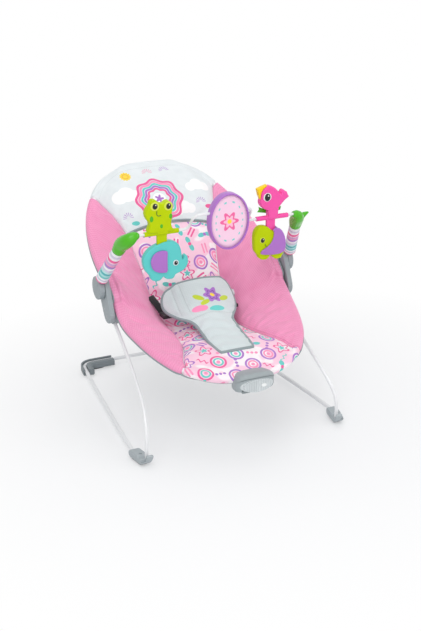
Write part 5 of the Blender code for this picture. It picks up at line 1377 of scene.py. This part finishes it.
def node_finishes():
    for material, nodes in (
        (white_coat, ["base_wire", "toy_wire", "upper_seat_tube", "lower_seat_tube", *pairs("upright_wire")]),
        (foot_grey, pairs("front_foot")),
        (grey_moulding, pairs("hub_block", "hub_plate", "arm_pivot")),
        (dark_moulding, pairs("rear_grip")),
        (unit_moulding, ["vibration_housing", "battery_door"]),
        (unit_edge, ["vibration_lid"]),
        (black_moulding, pairs("buckle_socket", "buckle_tongue")),
        (steel, ["battery", "battery_contact", "motor", "eccentric_weight"]),
        (steel, [f"{screw}_{end}" for screw in pairs("hub_screw") for end in ("front", "rear")]),
        (rubber, pairs("front_pad", "rear_pad")),
        (button_moulding, ["power_button"]),
        (leaf_green, [*pairs("arm_cap"), "leaf_sprig"]),
        (lime, ["frog_toy", "turtle_toy"]),
        (turquoise, ["elephant_toy"]),
        (lilac, ["elephant_ear", "turtle_shell"]),
        (bird_pink, ["bird_toy"]),
        (beak_yellow, ["bird_beak"]),
    ):
        for node in nodes:
            mesh = NODES[node].data
            for index in range(len(mesh.materials)):
                mesh.materials[index] = material


# Room

def seen_directly(tree):
    """1 for rays from the camera and for sharp reflections, 0 for the light that falls on things."""
    rays = tree.nodes.new("ShaderNodeLightPath")
    return Field(rays.outputs["Is Camera Ray"]).most(Field(rays.outputs["Is Glossy Ray"]))


def stage():
    """A white floor that carries soft shadows and, as painted light, glows white to the camera, more so away
    from the seat; plain soft lamps and the camera.
    """
    material, shader = new_material("floor", srgb(242, 243, 245), 0.6)
    tree = material.node_tree
    x, y, _ = axes(position(shader))
    away = length_of((x - 0.07) * 0.95, y + 0.1)
    # painted light: to the camera the floor is 0.35 white glow within 0.3 m of the seat, rising to all glow
    # from 0.8 m out, which lightens its shadows
    painted_glow_share = ranged(((away - 0.3) * 2).clamped(), 0.35, 1.0)
    glow = tree.nodes.new("ShaderNodeEmission")
    blend = tree.nodes.new("ShaderNodeMixShader")
    for slot, source in enumerate((painted_glow_share * seen_directly(tree), shader.outputs[0], glow.outputs[0])):
        link(source, blend.inputs[slot])
    link(blend.outputs[0], tree.nodes["Material Output"].inputs["Surface"])
    corners = [(-6, -6, 0), (6, -6, 0), (6, 6, 0), (-6, 6, 0)]
    floor = mesh_object("floor", corners, [(0, 1, 2, 3)], smooth=False)
    floor.data.materials.append(material)

    world = bpy.data.worlds.new("studio")
    SCENE.world = world
    world.use_nodes = True
    background = world.node_tree.nodes["Background"]
    background.inputs["Color"].default_value = (1, 1, 1, 1)
    link(seen_directly(world.node_tree) * 0.45 + 0.55, background.inputs["Strength"])

    for name, place, aim, size, power in (
        ("key", (-1.3, -1.6, 2.6), (0, 0, 0.2), 1.8, 28), ("fill", (2.2, -1.4, 1.6), (0, 0, 0.25), 2.0, 14),
        ("top", (0.2, 0.6, 3.0), (0, 0, 0.2), 2.4, 18), ("front", (-0.7, -2.8, 1.0), (0, 0, 0.3), 1.8, 11),
    ):
        lamp = bpy.data.lights.new(name, "AREA")
        lamp.size = size
        lamp.energy = power
        obj = bpy.data.objects.new(name, lamp)
        obj.location = place
        obj.rotation_euler = (Vector(place) - Vector(aim)).to_track_quat("Z", "Y").to_euler()
        SCENE.collection.objects.link(obj)

    azimuth, elevation = math.radians(CAMERA_AZIMUTH), math.radians(CAMERA_ELEVATION)
    away = Vector((math.sin(azimuth) * math.cos(elevation), -math.cos(azimuth) * math.cos(elevation),
                   math.sin(elevation)))
    data = bpy.data.cameras.new("camera")
    data.lens = CAMERA_LENS
    data.sensor_width = 36
    data.sensor_fit = "AUTO"
    camera = bpy.data.objects.new("camera", data)
    camera.location = CAMERA_TARGET + away * CAMERA_DISTANCE
    camera.rotation_euler = away.to_track_quat("Z", "Y").to_euler()
    SCENE.collection.objects.link(camera)
    SCENE.camera = camera
    SCENE.view_settings.view_transform = "Standard"


stage()
node_finishes()
seat_cover()
crotch_pad()
straps()
sleeves()
toy_details()
disc()
